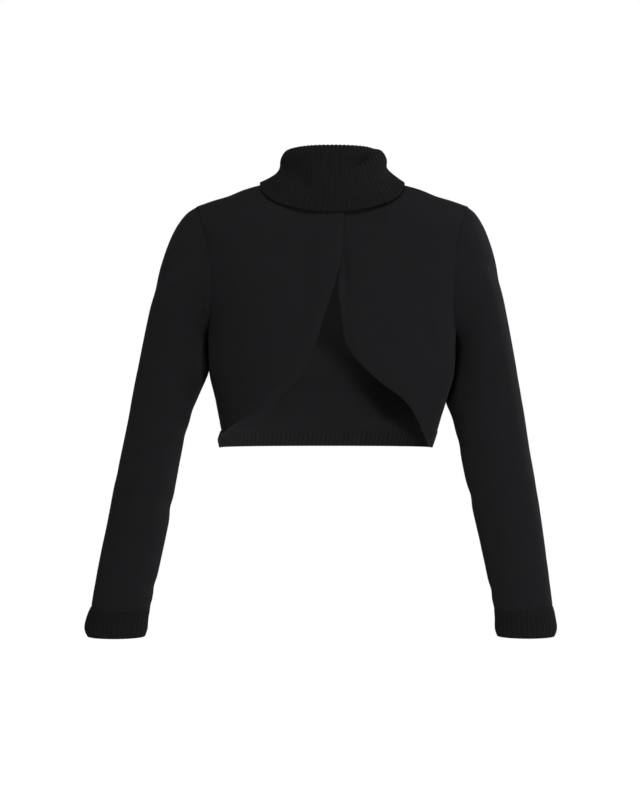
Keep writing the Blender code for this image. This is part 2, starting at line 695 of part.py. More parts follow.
def cuff(name, rows, collection, material):
    count = 2 * CUFF_RIBS
    grid = []
    for values in rows:
        row = dict(zip(SLEEVE_COLUMNS, values))
        dense = [sleeve_section(row, 2 * math.pi * k / FINE_STEPS) for k in range(FINE_STEPS)]
        grid.append(spread_evenly(np.array(dense), count, True))
    grid = np.array(grid)
    normals = grid_normals(grid, True)
    middle = grid.mean(axis=1, keepdims=True)
    normals *= np.sign(np.sum(normals * (grid - middle), axis=2).mean())
    normals[..., 2] = 0.0
    normals = unit(normals)
    raised = grid + normals * (RIB_HEIGHT * (np.arange(count) % 2))[None, :, None]
    return wall_object(name, raised, grid - CLOTH * normals, True, material, collection)


def body_normal(x, z, face):
    """The body surface's outward direction at x and z."""
    step = 0.0004
    y = body_depth(x, z, face)
    along_x = (body_depth(x + step, z, face) - body_depth(x - step, z, face)) / (2 * step)
    along_z = (y - body_depth(x, z - step, face)) / step
    return unit(np.array([-along_x, 1.0, -along_z]) * face)


def collar_edge(angle):
    """A point of the turned-down edge, lying on the body and moved out by the cloth and a little air."""
    forward = math.cos(angle)
    face = -1 if forward > 0 else 1
    end_z = COLLAR_EDGE_FRONT_Z if forward > 0 else COLLAR_EDGE_BACK_Z
    side_z = shoulder_at(COLLAR_EDGE_REACH)["height"]
    x = COLLAR_EDGE_REACH * math.sin(angle)
    z = side_z + (end_z - side_z) * abs(forward) ** COLLAR_EDGE_ROUNDING
    lift = COLLAR_LIFT + (COLLAR_FRONT_LIFT - COLLAR_LIFT) * max(forward, 0.0)
    point = np.array([x, body_depth(x, z, face), z])
    return point + (CLOTH + lift) * body_normal(x, z, face)


def collar_ring(row, angle):
    """A point of one ring of the collar, an oval that is squarer than an ellipse."""
    forward, sideways = math.cos(angle), math.sin(angle)
    power = 2 / COLLAR_SQUARENESS
    depth = row["front"] if forward > 0 else row["back"]
    end_z = row["front_z"] if forward > 0 else row["back_z"]
    x = COLLAR_X + row["half_width"] * math.copysign(abs(sideways) ** power, sideways)
    y = -depth * math.copysign(abs(forward) ** power, forward)
    z = row["side_z"] + (end_z - row["side_z"]) * abs(forward) ** 1.2
    return np.array([x, y, z])


def collar_foot(angle):
    """The stand's foot, just inside the neckline and as low as half the cloth there."""
    point = neckline(angle)
    centre = np.array([0.0, SHOULDER_Y, 0.0])
    inward = (centre - point) * (1.0, 1.0, 0.0)
    return point + (NECK_SEAM + CLOTH) * unit(inward) - np.array([0.0, 0.0, 0.5 * CLOTH])


def collar(collection, material):
    """The roll neck: a stand, a fold and a turn-down in one wall. Its ribs are on the side that shows."""
    count = 2 * COLLAR_RIBS
    angles = [math.pi * k / FINE_STEPS for k in range(2 * FINE_STEPS)]
    rings = [[collar_foot(a) for a in angles]]
    for values in COLLAR_ROWS:
        row = dict(zip(COLLAR_COLUMNS, values))
        rings.append([collar_ring(row, a) for a in angles])
    rings.append([collar_edge(a) for a in angles])
    grid = np.array([spread_evenly(np.array(ring), count, True) for ring in rings])
    normals = grid_normals(grid, True)
    # The side that shows looks into the neck on the stand and away from it on the turn-down.
    normals *= np.sign(normals[-2, 0, 1]) * -1.0
    normals[0, :, 2] = 0.0
    normals = unit(normals)
    raised = grid + normals * (RIB_HEIGHT * (np.arange(count) % 2))[None, :, None]
    raised[0] = grid[0]
    return wall_object("collar", raised, grid - CLOTH * normals, True, material, collection)


def main():
    clear_scene()
    collection = bpy.data.collections.new("cutout_sweater")
    bpy.context.scene.collection.children.link(collection)
    holes = {side: armhole(side) for side in (-1, 1)}
    front_panel("front_right", -1, holes, collection, knit_material("front_right_knit", BLACK_KNIT))
    front_panel("front_left", 1, holes, collection, knit_material("front_left_knit", BLACK_KNIT))
    back_panel(holes, collection, knit_material("back_knit", BLACK_KNIT))
    hem_band(collection, knit_material("hem_rib", BLACK_RIB))
    for side, word, rows, folds, cuffs in (
        (-1, "right", RIGHT_SLEEVE_ROWS, RIGHT_SLEEVE_FOLD_ROWS, RIGHT_CUFF_ROWS),
        (1, "left", LEFT_SLEEVE_ROWS, LEFT_SLEEVE_FOLD_ROWS, LEFT_CUFF_ROWS),
    ):
        knits = [knit_material(f"sleeve_{word}_{half}_knit", BLACK_KNIT) for half in ("upper", "lower")]
        sleeve(f"sleeve_{word}", side, rows, folds, holes[side], collection, knits)
        cuff(f"cuff_{word}", cuffs, collection, knit_material(f"cuff_{word}_rib", BLACK_RIB))
    collar(collection, knit_material("collar_rib", BLACK_RIB))


main()
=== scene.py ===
# %% [markdown]
# # A black roll-neck sweater with a cut-away front
#
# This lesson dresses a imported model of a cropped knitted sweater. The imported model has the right
# size and the right pieces, and it is the fixed frame here: every piece made below stands for one
# of its pieces and fills the same place, with a finer surface.
#
# The sweater is filled out as if somebody wore it. It has two fronts that lap at the chest and
# then curve away to the sides, a back that ends in a ribbed band, two set-in sleeves with ribbed
# cuffs, and a ribbed roll neck that is turned down over the neckline.
#
# All sizes are in metres. Z is up, the front faces -Y, and the wearer's left is +X.

# %% Open the frame
import math

import bpy
import numpy as np
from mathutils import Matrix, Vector


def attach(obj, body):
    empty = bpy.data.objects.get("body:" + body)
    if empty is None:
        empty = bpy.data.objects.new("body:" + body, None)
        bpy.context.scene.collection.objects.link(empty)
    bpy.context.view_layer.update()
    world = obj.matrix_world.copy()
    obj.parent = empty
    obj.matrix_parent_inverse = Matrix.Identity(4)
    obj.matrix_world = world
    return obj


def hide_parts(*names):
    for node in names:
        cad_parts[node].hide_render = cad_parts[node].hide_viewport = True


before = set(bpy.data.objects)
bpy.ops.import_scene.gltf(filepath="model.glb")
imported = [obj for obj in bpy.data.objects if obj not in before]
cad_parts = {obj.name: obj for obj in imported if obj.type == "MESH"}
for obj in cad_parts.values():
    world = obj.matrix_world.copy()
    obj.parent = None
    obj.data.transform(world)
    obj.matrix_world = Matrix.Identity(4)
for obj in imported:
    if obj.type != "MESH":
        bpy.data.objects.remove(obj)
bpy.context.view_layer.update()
print("the frame holds", sorted(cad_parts))

# %% [markdown]
# ## Reading a short table smoothly
#
# A garment maker writes down a size at a few levels only, such as the width at the hem, the waist
# and the chest, and lets the cloth find its way between them. A monotone cubic does the same: it
# passes through every row of a table and never swings past one. The reader below takes whole
# numpy arrays, so that one call gives thousands of points.

# %% A smooth reader for tables of sizes
FULL_TURN = 2 * math.pi


def smooth_table(columns, rows, along=None):
    values = np.array(rows, dtype=float)
    places = values[:, 0] if along is None else np.asarray(along, dtype=float)
    steps = np.diff(places)
    rises = np.diff(values, axis=0) / steps[:, None]
    slopes = np.zeros_like(values)
    slopes[0], slopes[-1] = rises[0], rises[-1]
    same_way = rises[:-1] * rises[1:] > 0
    total = np.where(same_way, rises[:-1] + rises[1:], 1.0)
    slopes[1:-1] = np.where(same_way, 2.0 * rises[:-1] * rises[1:] / total, 0.0)

    def read(place):
        place = np.clip(place, places[0], places[-1])
        k = np.clip(np.searchsorted(places, place) - 1, 0, len(steps) - 1)
        t = ((place - places[k]) / steps[k])[..., None]
        low = (1 + 2 * t) * (1 - t) ** 2 * values[k] + t * t * (3 - 2 * t) * values[k + 1]
        bend = t * (1 - t) ** 2 * slopes[k] - t * t * (1 - t) * slopes[k + 1]
        found = low + bend * steps[k][..., None]
        return {name: found[..., i] for i, name in enumerate(columns)}

    return read


def ramp(value, start, end):
    t = np.clip((value - start) / (end - start), 0.0, 1.0)
    return t * t * (3 - 2 * t)


def unit(vectors):
    return vectors / np.linalg.norm(vectors, axis=-1, keepdims=True)


def even_angles(count):
    """Equal turns round a ring, from nought up to just short of a whole turn."""
    return FULL_TURN * np.arange(count) / count


three_rows = smooth_table(("level", "size"), ((0.0, 1.0), (1.0, 2.0), (2.0, 5.0)))
halfway = three_rows(np.array(1.5))["size"]
print("half a level above the middle row the size is", round(float(halfway), 3))

# %% [markdown]
# ## The body
#
# The body is a soft, flattened tube. At each level it is a superellipse, which is squarer than an
# oval, and it closes over the shoulders along the shoulder seams. The sizes are the driving ones
# of the sweater itself: the side seams, the depths in front and behind, the shoulder line and the
# oval neckline.

# %% Sizes of the body
CLOTH = 0.0020
SEAM = 0.0003
BODY_COLUMNS = ("height", "right_x", "left_x", "front", "back")
BODY_ROWS = (
    (-0.370, -0.1548, 0.1380, 0.086, 0.089),
    (-0.344, -0.1545, 0.1465, 0.090, 0.088),
    (-0.325, -0.1582, 0.1520, 0.094, 0.087),
    (-0.300, -0.1630, 0.1598, 0.099, 0.087),
    (-0.256, -0.1722, 0.1712, 0.105, 0.091),
    (-0.212, -0.1733, 0.1727, 0.106, 0.096),
    (-0.150, -0.1800, 0.1800, 0.101, 0.101),
    (-0.100, -0.1880, 0.1880, 0.091, 0.098),
    (-0.060, -0.1960, 0.1960, 0.079, 0.088),
    (-0.020, -0.2060, 0.2060, 0.064, 0.077),
    (0.020, -0.2160, 0.2160, 0.050, 0.067),
)
BODY_SQUARENESS = 2.4
FOLDS_END_POWER = 6
SHOULDER_COLUMNS = ("reach", "height")
SHOULDER_ROWS = (
    (0.074, 0.0060),
    (0.101, 0.0006),
    (0.123, -0.0057),
    (0.146, -0.0150),
    (0.168, -0.0215),
    (0.189, -0.0290),
)
SHOULDER_Y = 0.004
SHOULDER_ROUNDING = 0.056
NECK_HALF = 0.074
NECK_FRONT = 0.066
NECK_BACK = 0.060
NECK_FRONT_Z = -0.030
NECK_BACK_Z = 0.003
NECK_SIDE_Z = 0.006
NECKLINE_DIP = 1.2
UNDERARM_Z = -0.212
SHOULDER_POINT_X = 0.189
ARMHOLE_HOLLOW = 0.014
ARMHOLE_TILT = 0.30
RIGHT, LEFT = -1, 1
FRONT, BACK = -1, 1
body_at = smooth_table(BODY_COLUMNS, BODY_ROWS)
shoulder_at = smooth_table(SHOULDER_COLUMNS, SHOULDER_ROWS)
print("chest width", round(body_at(np.array(UNDERARM_Z))["left_x"] * 2, 3), "m")

# %% [markdown]
# ## Folds given one by one
#
# Knitted cloth makes few folds, and each one has its own length, width and depth. A fold here is
# one row of a table: where its middle lies, which way it runs and how large it is. A minus depth
# is a trough and a plus depth is a ridge, and both fade out softly at their ends. The first rows
# of each table are the large folds that the frame has too. The roll neck's folds are read by the
# same function later.

# %% Folds of the fronts and the back
FOLD_COLUMNS = ("x", "z", "degrees", "length", "width", "depth")
FRONT_FOLD_ROWS = (
    (-0.137, -0.215, 62.0, 0.055, 0.013, -0.0030),
    (-0.118, -0.255, 48.0, 0.050, 0.014, -0.0022),
    (0.134, -0.222, 118.0, 0.055, 0.013, -0.0028),
    (0.108, -0.262, 128.0, 0.048, 0.015, -0.0024),
    (0.090, -0.215, 95.0, 0.050, 0.020, 0.0020),
    (0.112, -0.262, 91.0, 0.062, 0.016, 0.0030),
    (0.064, -0.235, 68.0, 0.034, 0.013, -0.0012),
    (-0.150, -0.300, 84.0, 0.040, 0.012, -0.0016),
    (-0.096, -0.150, 70.0, 0.060, 0.022, 0.0012),
    (-0.118, -0.075, 152.0, 0.042, 0.012, -0.0014),
    (0.122, -0.080, 28.0, 0.046, 0.012, -0.0014),
    (0.150, -0.285, 94.0, 0.035, 0.009, -0.0012),
    (0.0175, -0.127, 91.5, 0.050, 0.0055, -0.0052),
    (-0.0035, -0.0590, 92.0, 0.0080, 0.0026, -0.0011),
    (0.0062, -0.0580, 88.0, 0.0070, 0.0026, -0.0011),
    (-0.1640, -0.1900, 84.0, 0.0380, 0.0110, -0.0040),
    (0.1600, -0.2600, 95.0, 0.0340, 0.0080, -0.0020),
)
BACK_FOLD_ROWS = (
    (-0.128, -0.210, 58.0, 0.060, 0.015, -0.0030),
    (0.126, -0.214, 122.0, 0.060, 0.015, -0.0030),
    (-0.055, -0.275, 82.0, 0.060, 0.018, -0.0022),
    (0.048, -0.265, 98.0, 0.065, 0.018, -0.0022),
    (-0.098, -0.290, 74.0, 0.045, 0.014, -0.0018),
    (0.094, -0.296, 104.0, 0.042, 0.013, -0.0018),
    (-0.002, -0.235, 91.0, 0.085, 0.016, 0.0014),
    (-0.112, -0.120, 118.0, 0.050, 0.014, -0.0016),
    (0.117, -0.128, 64.0, 0.052, 0.014, -0.0018),
    (0.014, -0.052, 4.0, 0.055, 0.009, -0.0012),
)


def fold_height(x, z, rows):
    total = np.zeros_like(x)
    for row in rows:
        fold = dict(zip(FOLD_COLUMNS, row))
        turn = math.radians(fold["degrees"])
        along = (x - fold["x"]) * math.cos(turn) + (z - fold["z"]) * math.sin(turn)
        across = (z - fold["z"]) * math.cos(turn) - (x - fold["x"]) * math.sin(turn)
        away = (along / fold["length"]) ** 2 + (across / fold["width"]) ** 2
        total += fold["depth"] * np.exp(-away)
    return total


print(len(FRONT_FOLD_ROWS), "folds in front,", len(BACK_FOLD_ROWS), "behind")

# %% [markdown]
# ## The body's surface
#
# The next functions answer one question: how deep is the cloth at a place x and a height z? The
# superellipse gives the depth, and near the top edge a quarter circle pulls it over to the
# shoulder seam or the neckline. The folds are added last, and they end before the side seams.

# %% Depth of the body at any place
def neckline(angle):
    forward = np.cos(angle)
    in_front = forward > 0
    depth = np.where(in_front, NECK_FRONT, NECK_BACK)
    end_z = np.where(in_front, NECK_FRONT_Z, NECK_BACK_Z)
    height = NECK_SIDE_Z + (end_z - NECK_SIDE_Z) * np.abs(forward) ** NECKLINE_DIP
    y = SHOULDER_Y - (depth + SHOULDER_Y) * forward
    return np.stack([NECK_HALF * np.sin(angle), y, height], axis=-1)


def top_line(x, face):
    angle = np.arcsin(np.clip(x / NECK_HALF, -1.0, 1.0))
    on_neck = neckline(angle if face == FRONT else math.pi - angle)
    inside = np.abs(x) < NECK_HALF
    shoulder_z = shoulder_at(np.abs(x))["height"]
    y = np.where(inside, on_neck[..., 1], SHOULDER_Y)
    return y, np.where(inside, on_neck[..., 2], shoulder_z)


def body_middle_and_half(z):
    level = body_at(z)
    return 0.5 * (level["left_x"] + level["right_x"]), 0.5 * (level["left_x"] - level["right_x"])


def body_depth(x, z, face):
    x, z = np.broadcast_arrays(np.asarray(x, dtype=float), np.asarray(z, dtype=float))
    middle, half = body_middle_and_half(z)
    depth = body_at(z)["front" if face == FRONT else "back"]
    share = np.minimum(np.abs(x - middle) / half, 1.0)
    base = face * depth * (1 - share**BODY_SQUARENESS) ** (1 / BODY_SQUARENESS)
    top_y, top_z = top_line(x, face)
    rise = np.clip(1 - (top_z - z) / SHOULDER_ROUNDING, 0.0, 1.0)
    pull = 1 - np.sqrt(1 - rise**2)
    fold = fold_height(x, z, FRONT_FOLD_ROWS if face == FRONT else BACK_FOLD_ROWS)
    return base + (top_y - base) * pull + face * (fold * (1 - share**FOLDS_END_POWER))


def turn_of(x, z):
    middle, half = body_middle_and_half(z)
    share = np.clip((x - middle) / half, -1.0, 1.0)
    return np.sign(share) * np.arcsin(np.abs(share) ** (BODY_SQUARENESS / 2))


def x_of(turn, z):
    middle, half = body_middle_and_half(z)
    return middle + half * np.sign(turn) * np.abs(np.sin(turn)) ** (2 / BODY_SQUARENESS)


print("chest depth in front", round(float(-body_depth(0.02, -0.2, FRONT)), 3), "m")

# %% [markdown]
# ## The armholes
#
# An armhole is the closed line where a sleeve is set in. It is found once, and the front, the
# back and the sleeve are all built on the same line, so the seam closes everywhere. Along with
# its points come two directions: straight out of the cloth, and across the seam from the body to
# the sleeve.

# %% The armhole line and its directions
def armhole(side, angles):
    top_z = float(shoulder_at(np.array(SHOULDER_POINT_X))["height"])
    rise = 0.5 * (1 - np.cos(angles))
    z = UNDERARM_Z + (top_z - UNDERARM_Z) * rise
    seam = abs(float(body_at(np.array(UNDERARM_Z))["left_x" if side == LEFT else "right_x"]))
    x = side * (seam + (SHOULDER_POINT_X - seam) * rise - ARMHOLE_HOLLOW * np.sin(angles) ** 2)
    in_front = np.sin(angles) >= 0
    y = np.where(in_front, body_depth(x, z, FRONT), body_depth(x, z, BACK))
    y = np.where(rise < 1e-6, 0.0, np.where(rise > 1 - 1e-6, SHOULDER_Y, y))
    points = np.stack([x, y, z], axis=-1)
    outward = points - points.mean(axis=0)
    outward[:, 1] = y - SHOULDER_Y * rise
    outward[:, 0] = side * ARMHOLE_TILT * np.linalg.norm(outward[:, 1:], axis=1)
    outward = unit(outward)
    tangent = np.roll(points, -1, axis=0) - np.roll(points, 1, axis=0)
    across = unit(np.cross(tangent, outward))
    across *= np.sign(across[:, :1]) * side
    return points, outward, across


ARM_STEPS = 100
armholes = {side: armhole(side, even_angles(2 * ARM_STEPS)) for side in (RIGHT, LEFT)}
for side, word in ((RIGHT, "right"), (LEFT, "left")):
    line = armholes[side][0]
    around = np.linalg.norm(np.roll(line, -1, axis=0) - line, axis=1).sum()
    print("the", word, "armhole is", round(float(around), 3), "m round")

# %% [markdown]
# ## The stitches
#
# Seen from a step away this knit is plain black, and from close by it is rows of small V shapes
# that nest into each other. Each stitch has two legs that lean away from the middle of its
# column. There are far too many stitches to model, so they are a pattern in the material. One
# node group draws the right side of jersey with its V shapes, and a second one draws the hidden
# side, where the same yarn shows as rows of small arcs. A third draws the hidden side of rib, and
# a fourth gives the slow clouds and the fine fuzz of the yarn. A group hands out only values, and
# the shader stays in each material.

# %% Helpers for node trees
def new_group(name, kind, inputs, outputs):
    """A node group with named inputs, each with its socket type and value, and named outputs."""
    group = bpy.data.node_groups.new(name, kind)
    for label, socket_type, value in inputs:
        socket = group.interface.new_socket(label, in_out="INPUT", socket_type=socket_type)
        if value is not None:
            socket.default_value = value
    for label, socket_type in outputs:
        group.interface.new_socket(label, in_out="OUTPUT", socket_type=socket_type)
    given = group.nodes.new("NodeGroupInput").outputs
    return group, given, group.nodes.new("NodeGroupOutput").inputs


def plug(tree, value, socket):
    """Links a value that comes from a node, or writes a plain one on the socket."""
    if isinstance(value, bpy.types.NodeSocket):
        tree.links.new(value, socket)
    elif value is not None:
        socket.default_value = value


def calculate(tree, operation, *values):
    """One Math node, and the socket that gives its result."""
    node = tree.nodes.new("ShaderNodeMath")
    node.operation = operation
    for value, socket in zip(values, node.inputs):
        plug(tree, value, socket)
    return node.outputs[0]


print("node groups are made in Blender", bpy.app.version_string)

# %% The knits as node groups
WALE = 0.0013
COURSE = 0.00095
LEG_LEAN = 1.3
LEG_SWELL = 0.65
ARC_BOW = 0.36
ARC_FLATNESS = 0.7
BEADS_PER_WALE = 2.0
BEAD_SHARE = 0.25
RIB_ARC_SHARE = 0.25
WALES_PER_RIB = 5
HOLLOW_SHARE = 0.6


def wave(tree, turns):
    """0 to 1 and back, once for each whole turn."""
    cosine = calculate(tree, "COSINE", calculate(tree, "MULTIPLY", turns, FULL_TURN))
    return calculate(tree, "MULTIPLY_ADD", cosine, 0.5, 0.5)


def start_knit_group(name):
    """A group that reads the stitch map, with the column and row of the stitch at each place."""
    inputs = (
        ("Map", "NodeSocketVector", None),
        ("Wale", "NodeSocketFloat", WALE),
        ("Course", "NodeSocketFloat", COURSE),
    )
    group, given, made = new_group(name, "ShaderNodeTree", inputs, (("Height", "NodeSocketFloat"),))
    split = group.nodes.new("ShaderNodeSeparateXYZ")
    group.links.new(given["Map"], split.inputs[0])
    column = calculate(group, "DIVIDE", split.outputs["X"], given["Wale"])
    row = calculate(group, "DIVIDE", split.outputs["Y"], given["Course"])
    return group, made, column, row


def right_side_group():
    """Two round legs in each column, which lean away from its middle."""
    group, made, column, row = start_knit_group("knit_right_side")
    away = calculate(group, "SUBTRACT", calculate(group, "FRACT", column), 0.5)
    from_middle = calculate(group, "ABSOLUTE", away)
    across_leg = calculate(group, "MULTIPLY_ADD", from_middle, 4.0, -1.0)
    squared = calculate(group, "MULTIPLY", across_leg, across_leg)
    left_over = calculate(group, "MAXIMUM", calculate(group, "SUBTRACT", 1.0, squared), 0.0)
    round_leg = calculate(group, "SQRT", left_over)
    leaning_row = calculate(group, "MULTIPLY_ADD", from_middle, -LEG_LEAN, row)
    swell = wave(group, leaning_row)
    along_leg = calculate(group, "MULTIPLY_ADD", swell, LEG_SWELL, 1.0 - LEG_SWELL)
    group.links.new(calculate(group, "MULTIPLY", round_leg, along_leg), made["Height"])
    return group


def hidden_side_group():
    """Rows of arcs, each with the beads where the yarn turns."""
    group, made, column, row = start_knit_group("knit_hidden_side")
    bowed_row = calculate(group, "MULTIPLY_ADD", wave(group, column), ARC_BOW, row)
    arcs = calculate(group, "POWER", wave(group, bowed_row), ARC_FLATNESS)
    turns = wave(group, calculate(group, "MULTIPLY", column, BEADS_PER_WALE))
    beads = calculate(group, "MULTIPLY_ADD", turns, BEAD_SHARE, 1.0 - BEAD_SHARE)
    group.links.new(calculate(group, "MULTIPLY", arcs, beads), made["Height"])
    return group


def rib_hidden_side_group():
    """The hidden side of rib, where each ridge of the side that shows is a soft hollow."""
    group, made, column, row = start_knit_group("knit_rib_hidden_side")
    arcs = calculate(group, "MULTIPLY", wave(group, row), RIB_ARC_SHARE)
    hollow = wave(group, calculate(group, "DIVIDE", column, WALES_PER_RIB))
    group.links.new(calculate(group, "MULTIPLY_ADD", hollow, HOLLOW_SHARE, arcs), made["Height"])
    return group

# %% The yarn, and one of each group
YARN_COLUMNS = ("name", "size", "detail")
YARN_ROWS = (("Cloud", 0.045, 4.0), ("Fuzz", 0.0011, 2.0))


def yarn_group():
    """Slow clouds in the dye and the fine fuzz of the yarn, both in the object's own space."""
    noises = [dict(zip(YARN_COLUMNS, row)) for row in YARN_ROWS]
    inputs = [("Place", "NodeSocketVector", None)]
    inputs += [(row["name"] + " size", "NodeSocketFloat", row["size"]) for row in noises]
    outputs = [(row["name"], "NodeSocketFloat") for row in noises]
    group, given, made = new_group("yarn", "ShaderNodeTree", inputs, outputs)
    for row in noises:
        noise = group.nodes.new("ShaderNodeTexNoise")
        group.links.new(given["Place"], noise.inputs["Vector"])
        scale = calculate(group, "DIVIDE", 1.0, given[row["name"] + " size"])
        group.links.new(scale, noise.inputs["Scale"])
        noise.inputs["Detail"].default_value = row["detail"]
        group.links.new(noise.outputs[0], made[row["name"]])
    return group


right_side = right_side_group()
hidden_side = hidden_side_group()
rib_hidden_side = rib_hidden_side_group()
yarn = yarn_group()
print("one stitch is", WALE * 1000, "by", COURSE * 1000, "mm")

# %% [markdown]
# ## The finishes
#
# A knitted surface is matte, but its loose fibres catch light that skims past, which makes the
# pale line along a round edge. Sheen does that here, and it is set on the shader's own socket.
# The pits between stitches are painted darker than their legs, which is painted shade, and the cloud
# noise changes the black a little from place to place, as dyed yarn does. The ribbing is painted
# darker than the jersey, as painted shade, and the hidden sides and the linking yarn are painted
# lighter, as painted light.

# %% Materials of the knit
FINISH_COLUMNS = ("name", "stitches", "colour", "bump_distance", "sheen")
FINISH_ROWS = (
    ("fine_black_jersey", right_side, (0.0100, 0.0096, 0.0110), 0.00026, 0.035),
    # The hidden side is painted about twice as light as the side that shows, as painted light on the
    # inside of the back.
    ("fine_black_jersey_inside", hidden_side, (0.0205, 0.0197, 0.0220), 0.00030, 0.035),
    # The ribbing is painted darker than the jersey, as painted shade of its valleys.
    ("black_ribbing", right_side, (0.0074, 0.0074, 0.0077), 0.00030, 0.025),
    # The hidden side of rib is painted lighter than the rib that shows, as painted light.
    ("black_ribbing_inside", rib_hidden_side, (0.0172, 0.0166, 0.0183), 0.00024, 0.03),
    # The linking yarn is painted about twice as light as the jersey, as painted light against the
    # shade in the seam's groove.
    ("black_linking_yarn", right_side, (0.0200, 0.0195, 0.0217), 0.00010, 0.03),
)
# The stitches' height paints the colour: the pits are painted darker and the legs lighter, which is
# painted shade and light.
PIT_SHADE = 0.62
LEG_SHADE = 1.22
CLOUD_SHARE = 0.30
FUZZ_SHARE = 0.25
ROUGHNESS = 0.78
CLOUD_ROUGHNESS = 0.16
SPECULAR = 0.12
SHEEN_ROUGHNESS = 0.42
SHEEN_TINT = (0.86, 0.88, 1.0, 1.0)


def knit_material(name, stitches, colour, bump_distance, sheen):
    material = bpy.data.materials.new(name)
    material.use_nodes = True
    tree = material.node_tree
    shader = tree.nodes["Principled BSDF"]
    place = tree.nodes.new("ShaderNodeTexCoord").outputs["Object"]
    stitch_map = tree.nodes.new("ShaderNodeUVMap")
    stitch_map.uv_map = "stitches"
    knit = tree.nodes.new("ShaderNodeGroup")
    knit.node_tree = stitches
    tree.links.new(stitch_map.outputs["UV"], knit.inputs["Map"])
    fibres = tree.nodes.new("ShaderNodeGroup")
    fibres.node_tree = yarn
    tree.links.new(place, fibres.inputs["Place"])
    cloud, fuzz = fibres.outputs["Cloud"], fibres.outputs["Fuzz"]
    # Painted shade: the pits between stitches come out darker and the legs lighter. The cloud adds
    # the dye's own changes.
    darker = calculate(tree, "MULTIPLY_ADD", cloud, CLOUD_SHARE, -0.5 * CLOUD_SHARE)
    shade = calculate(tree, "ADD", knit.outputs["Height"], darker)
    mix = tree.nodes.new("ShaderNodeMix")
    mix.data_type = "RGBA"
    colours = [socket for socket in mix.inputs if socket.type == "RGBA"]
    colours[0].default_value = (*(PIT_SHADE * value for value in colour), 1.0)
    colours[1].default_value = (*(LEG_SHADE * value for value in colour), 1.0)
    tree.links.new(shade, mix.inputs["Factor"])
    mixed = next(socket for socket in mix.outputs if socket.type == "RGBA")
    tree.links.new(mixed, shader.inputs["Base Color"])
    height = calculate(tree, "MULTIPLY_ADD", fuzz, FUZZ_SHARE, knit.outputs["Height"])
    bump = tree.nodes.new("ShaderNodeBump")
    bump.inputs["Distance"].default_value = bump_distance
    tree.links.new(height, bump.inputs["Height"])
    tree.links.new(bump.outputs["Normal"], shader.inputs["Normal"])
    rough = calculate(tree, "MULTIPLY_ADD", cloud, CLOUD_ROUGHNESS, ROUGHNESS)
    tree.links.new(rough, shader.inputs["Roughness"])
    shader.inputs["Metallic"].default_value = 0.0
    shader.inputs["Specular IOR Level"].default_value = SPECULAR
    shader.inputs["Sheen Weight"].default_value = sheen
    shader.inputs["Sheen Roughness"].default_value = SHEEN_ROUGHNESS
    shader.inputs["Sheen Tint"].default_value = SHEEN_TINT
    return material


finishes = [knit_material(**dict(zip(FINISH_COLUMNS, row))) for row in FINISH_ROWS]
jersey, jersey_inside, ribbing, ribbing_inside, link_yarn = finishes
print("materials:", [material.name for material in finishes])

# %% [markdown]
# ## One piece of knitting
#
# Every piece is a wall between two grids of points: the side that shows and the hidden side. The
# wall is closed round its rim, its rim is softened with a Bevel modifier that only reads the
# edges given a bevel weight, and it carries a UV map in metres, across the stitches and along
# them. The knit pattern reads that map, so the stitches keep their size and follow the piece.

# %% The directions, cells and rims of a grid
def grid_normals(grid, around):
    """Square to the grid at each point. The caller turns them all outwards."""
    if around:
        sideways = np.roll(grid, -1, axis=1) - np.roll(grid, 1, axis=1)
    else:
        sideways = np.gradient(grid, axis=1)
    return unit(np.cross(sideways, np.gradient(grid, axis=0)))


def cell_corners(rows, columns, around):
    """The four points of each cell of a grid, by their numbers."""
    cells_across = columns if around else columns - 1
    r, c = np.meshgrid(np.arange(rows - 1), np.arange(cells_across), indexing="ij")
    n = (c + 1) % columns
    low, high = r * columns, (r + 1) * columns
    return np.stack([low + c, low + n, high + n, high + c], axis=-1)


def rim_lines(rows, columns, around):
    """The closed lines of points along the rim: two on a tube, and one on a panel."""
    foot = np.arange(columns)
    top = (rows - 1) * columns
    if around:
        ring = np.append(foot, 0)
        return [ring, ring[::-1] + top]
    up = np.arange(rows) * columns
    return [np.concatenate([foot, up[1:] + columns - 1, foot[::-1][1:] + top, up[::-1][1:]])]


two_by_three = cell_corners(2, 3, False).reshape(-1, 4)
print("a grid of 2 rows and 3 columns has the cells", two_by_three.tolist())

# %% Build a wall of cloth from two grids
collection = bpy.data.collections.new("cutout_sweater_looks")
bpy.context.scene.collection.children.link(collection)


def cloth_wall(name, shown, hidden, around, stitches_map, knits):
    """A closed wall with one knit, or with a second one for its hidden side.

    stitches_map has one column more than the grid where the grid goes around.
    """
    rows, columns = shown.shape[:2]
    count = rows * columns
    cells = cell_corners(rows, columns, around).reshape(-1, 4)
    rims = []
    for line in rim_lines(rows, columns, around):
        rims.append(np.stack([line[:-1], line[:-1] + count, line[1:] + count, line[1:]], axis=-1))
    faces = np.concatenate([cells, cells[:, ::-1] + count, *rims])
    points = np.concatenate([shown.reshape(-1, 3), hidden.reshape(-1, 3)])
    a, b, c = points[cells[:, 0]], points[cells[:, 1]], points[cells[:, 2]]
    out = (shown - hidden).reshape(-1, 3)[cells[:, 0]]
    if np.sum(np.cross(b - a, c - a) * out) < 0:
        faces = faces[:, ::-1]
    mesh = bpy.data.meshes.new(name)
    mesh.from_pydata(points.tolist(), [], faces.tolist())
    for knit in knits:
        mesh.materials.append(knit)
    knit_of_face = np.zeros(len(faces), dtype=np.int32)
    knit_of_face[len(cells) : 2 * len(cells)] = len(knits) - 1
    mesh.polygons.foreach_set("material_index", knit_of_face)
    obj = bpy.data.objects.new(name, mesh)
    collection.objects.link(obj)
    add_stitches_map(mesh, rows, columns, around, stitches_map)
    mark_rim(mesh, rows, columns, around)
    if mesh.validate():
        print(name, "had faces that Blender mended")
    mesh.shade_smooth()
    return obj


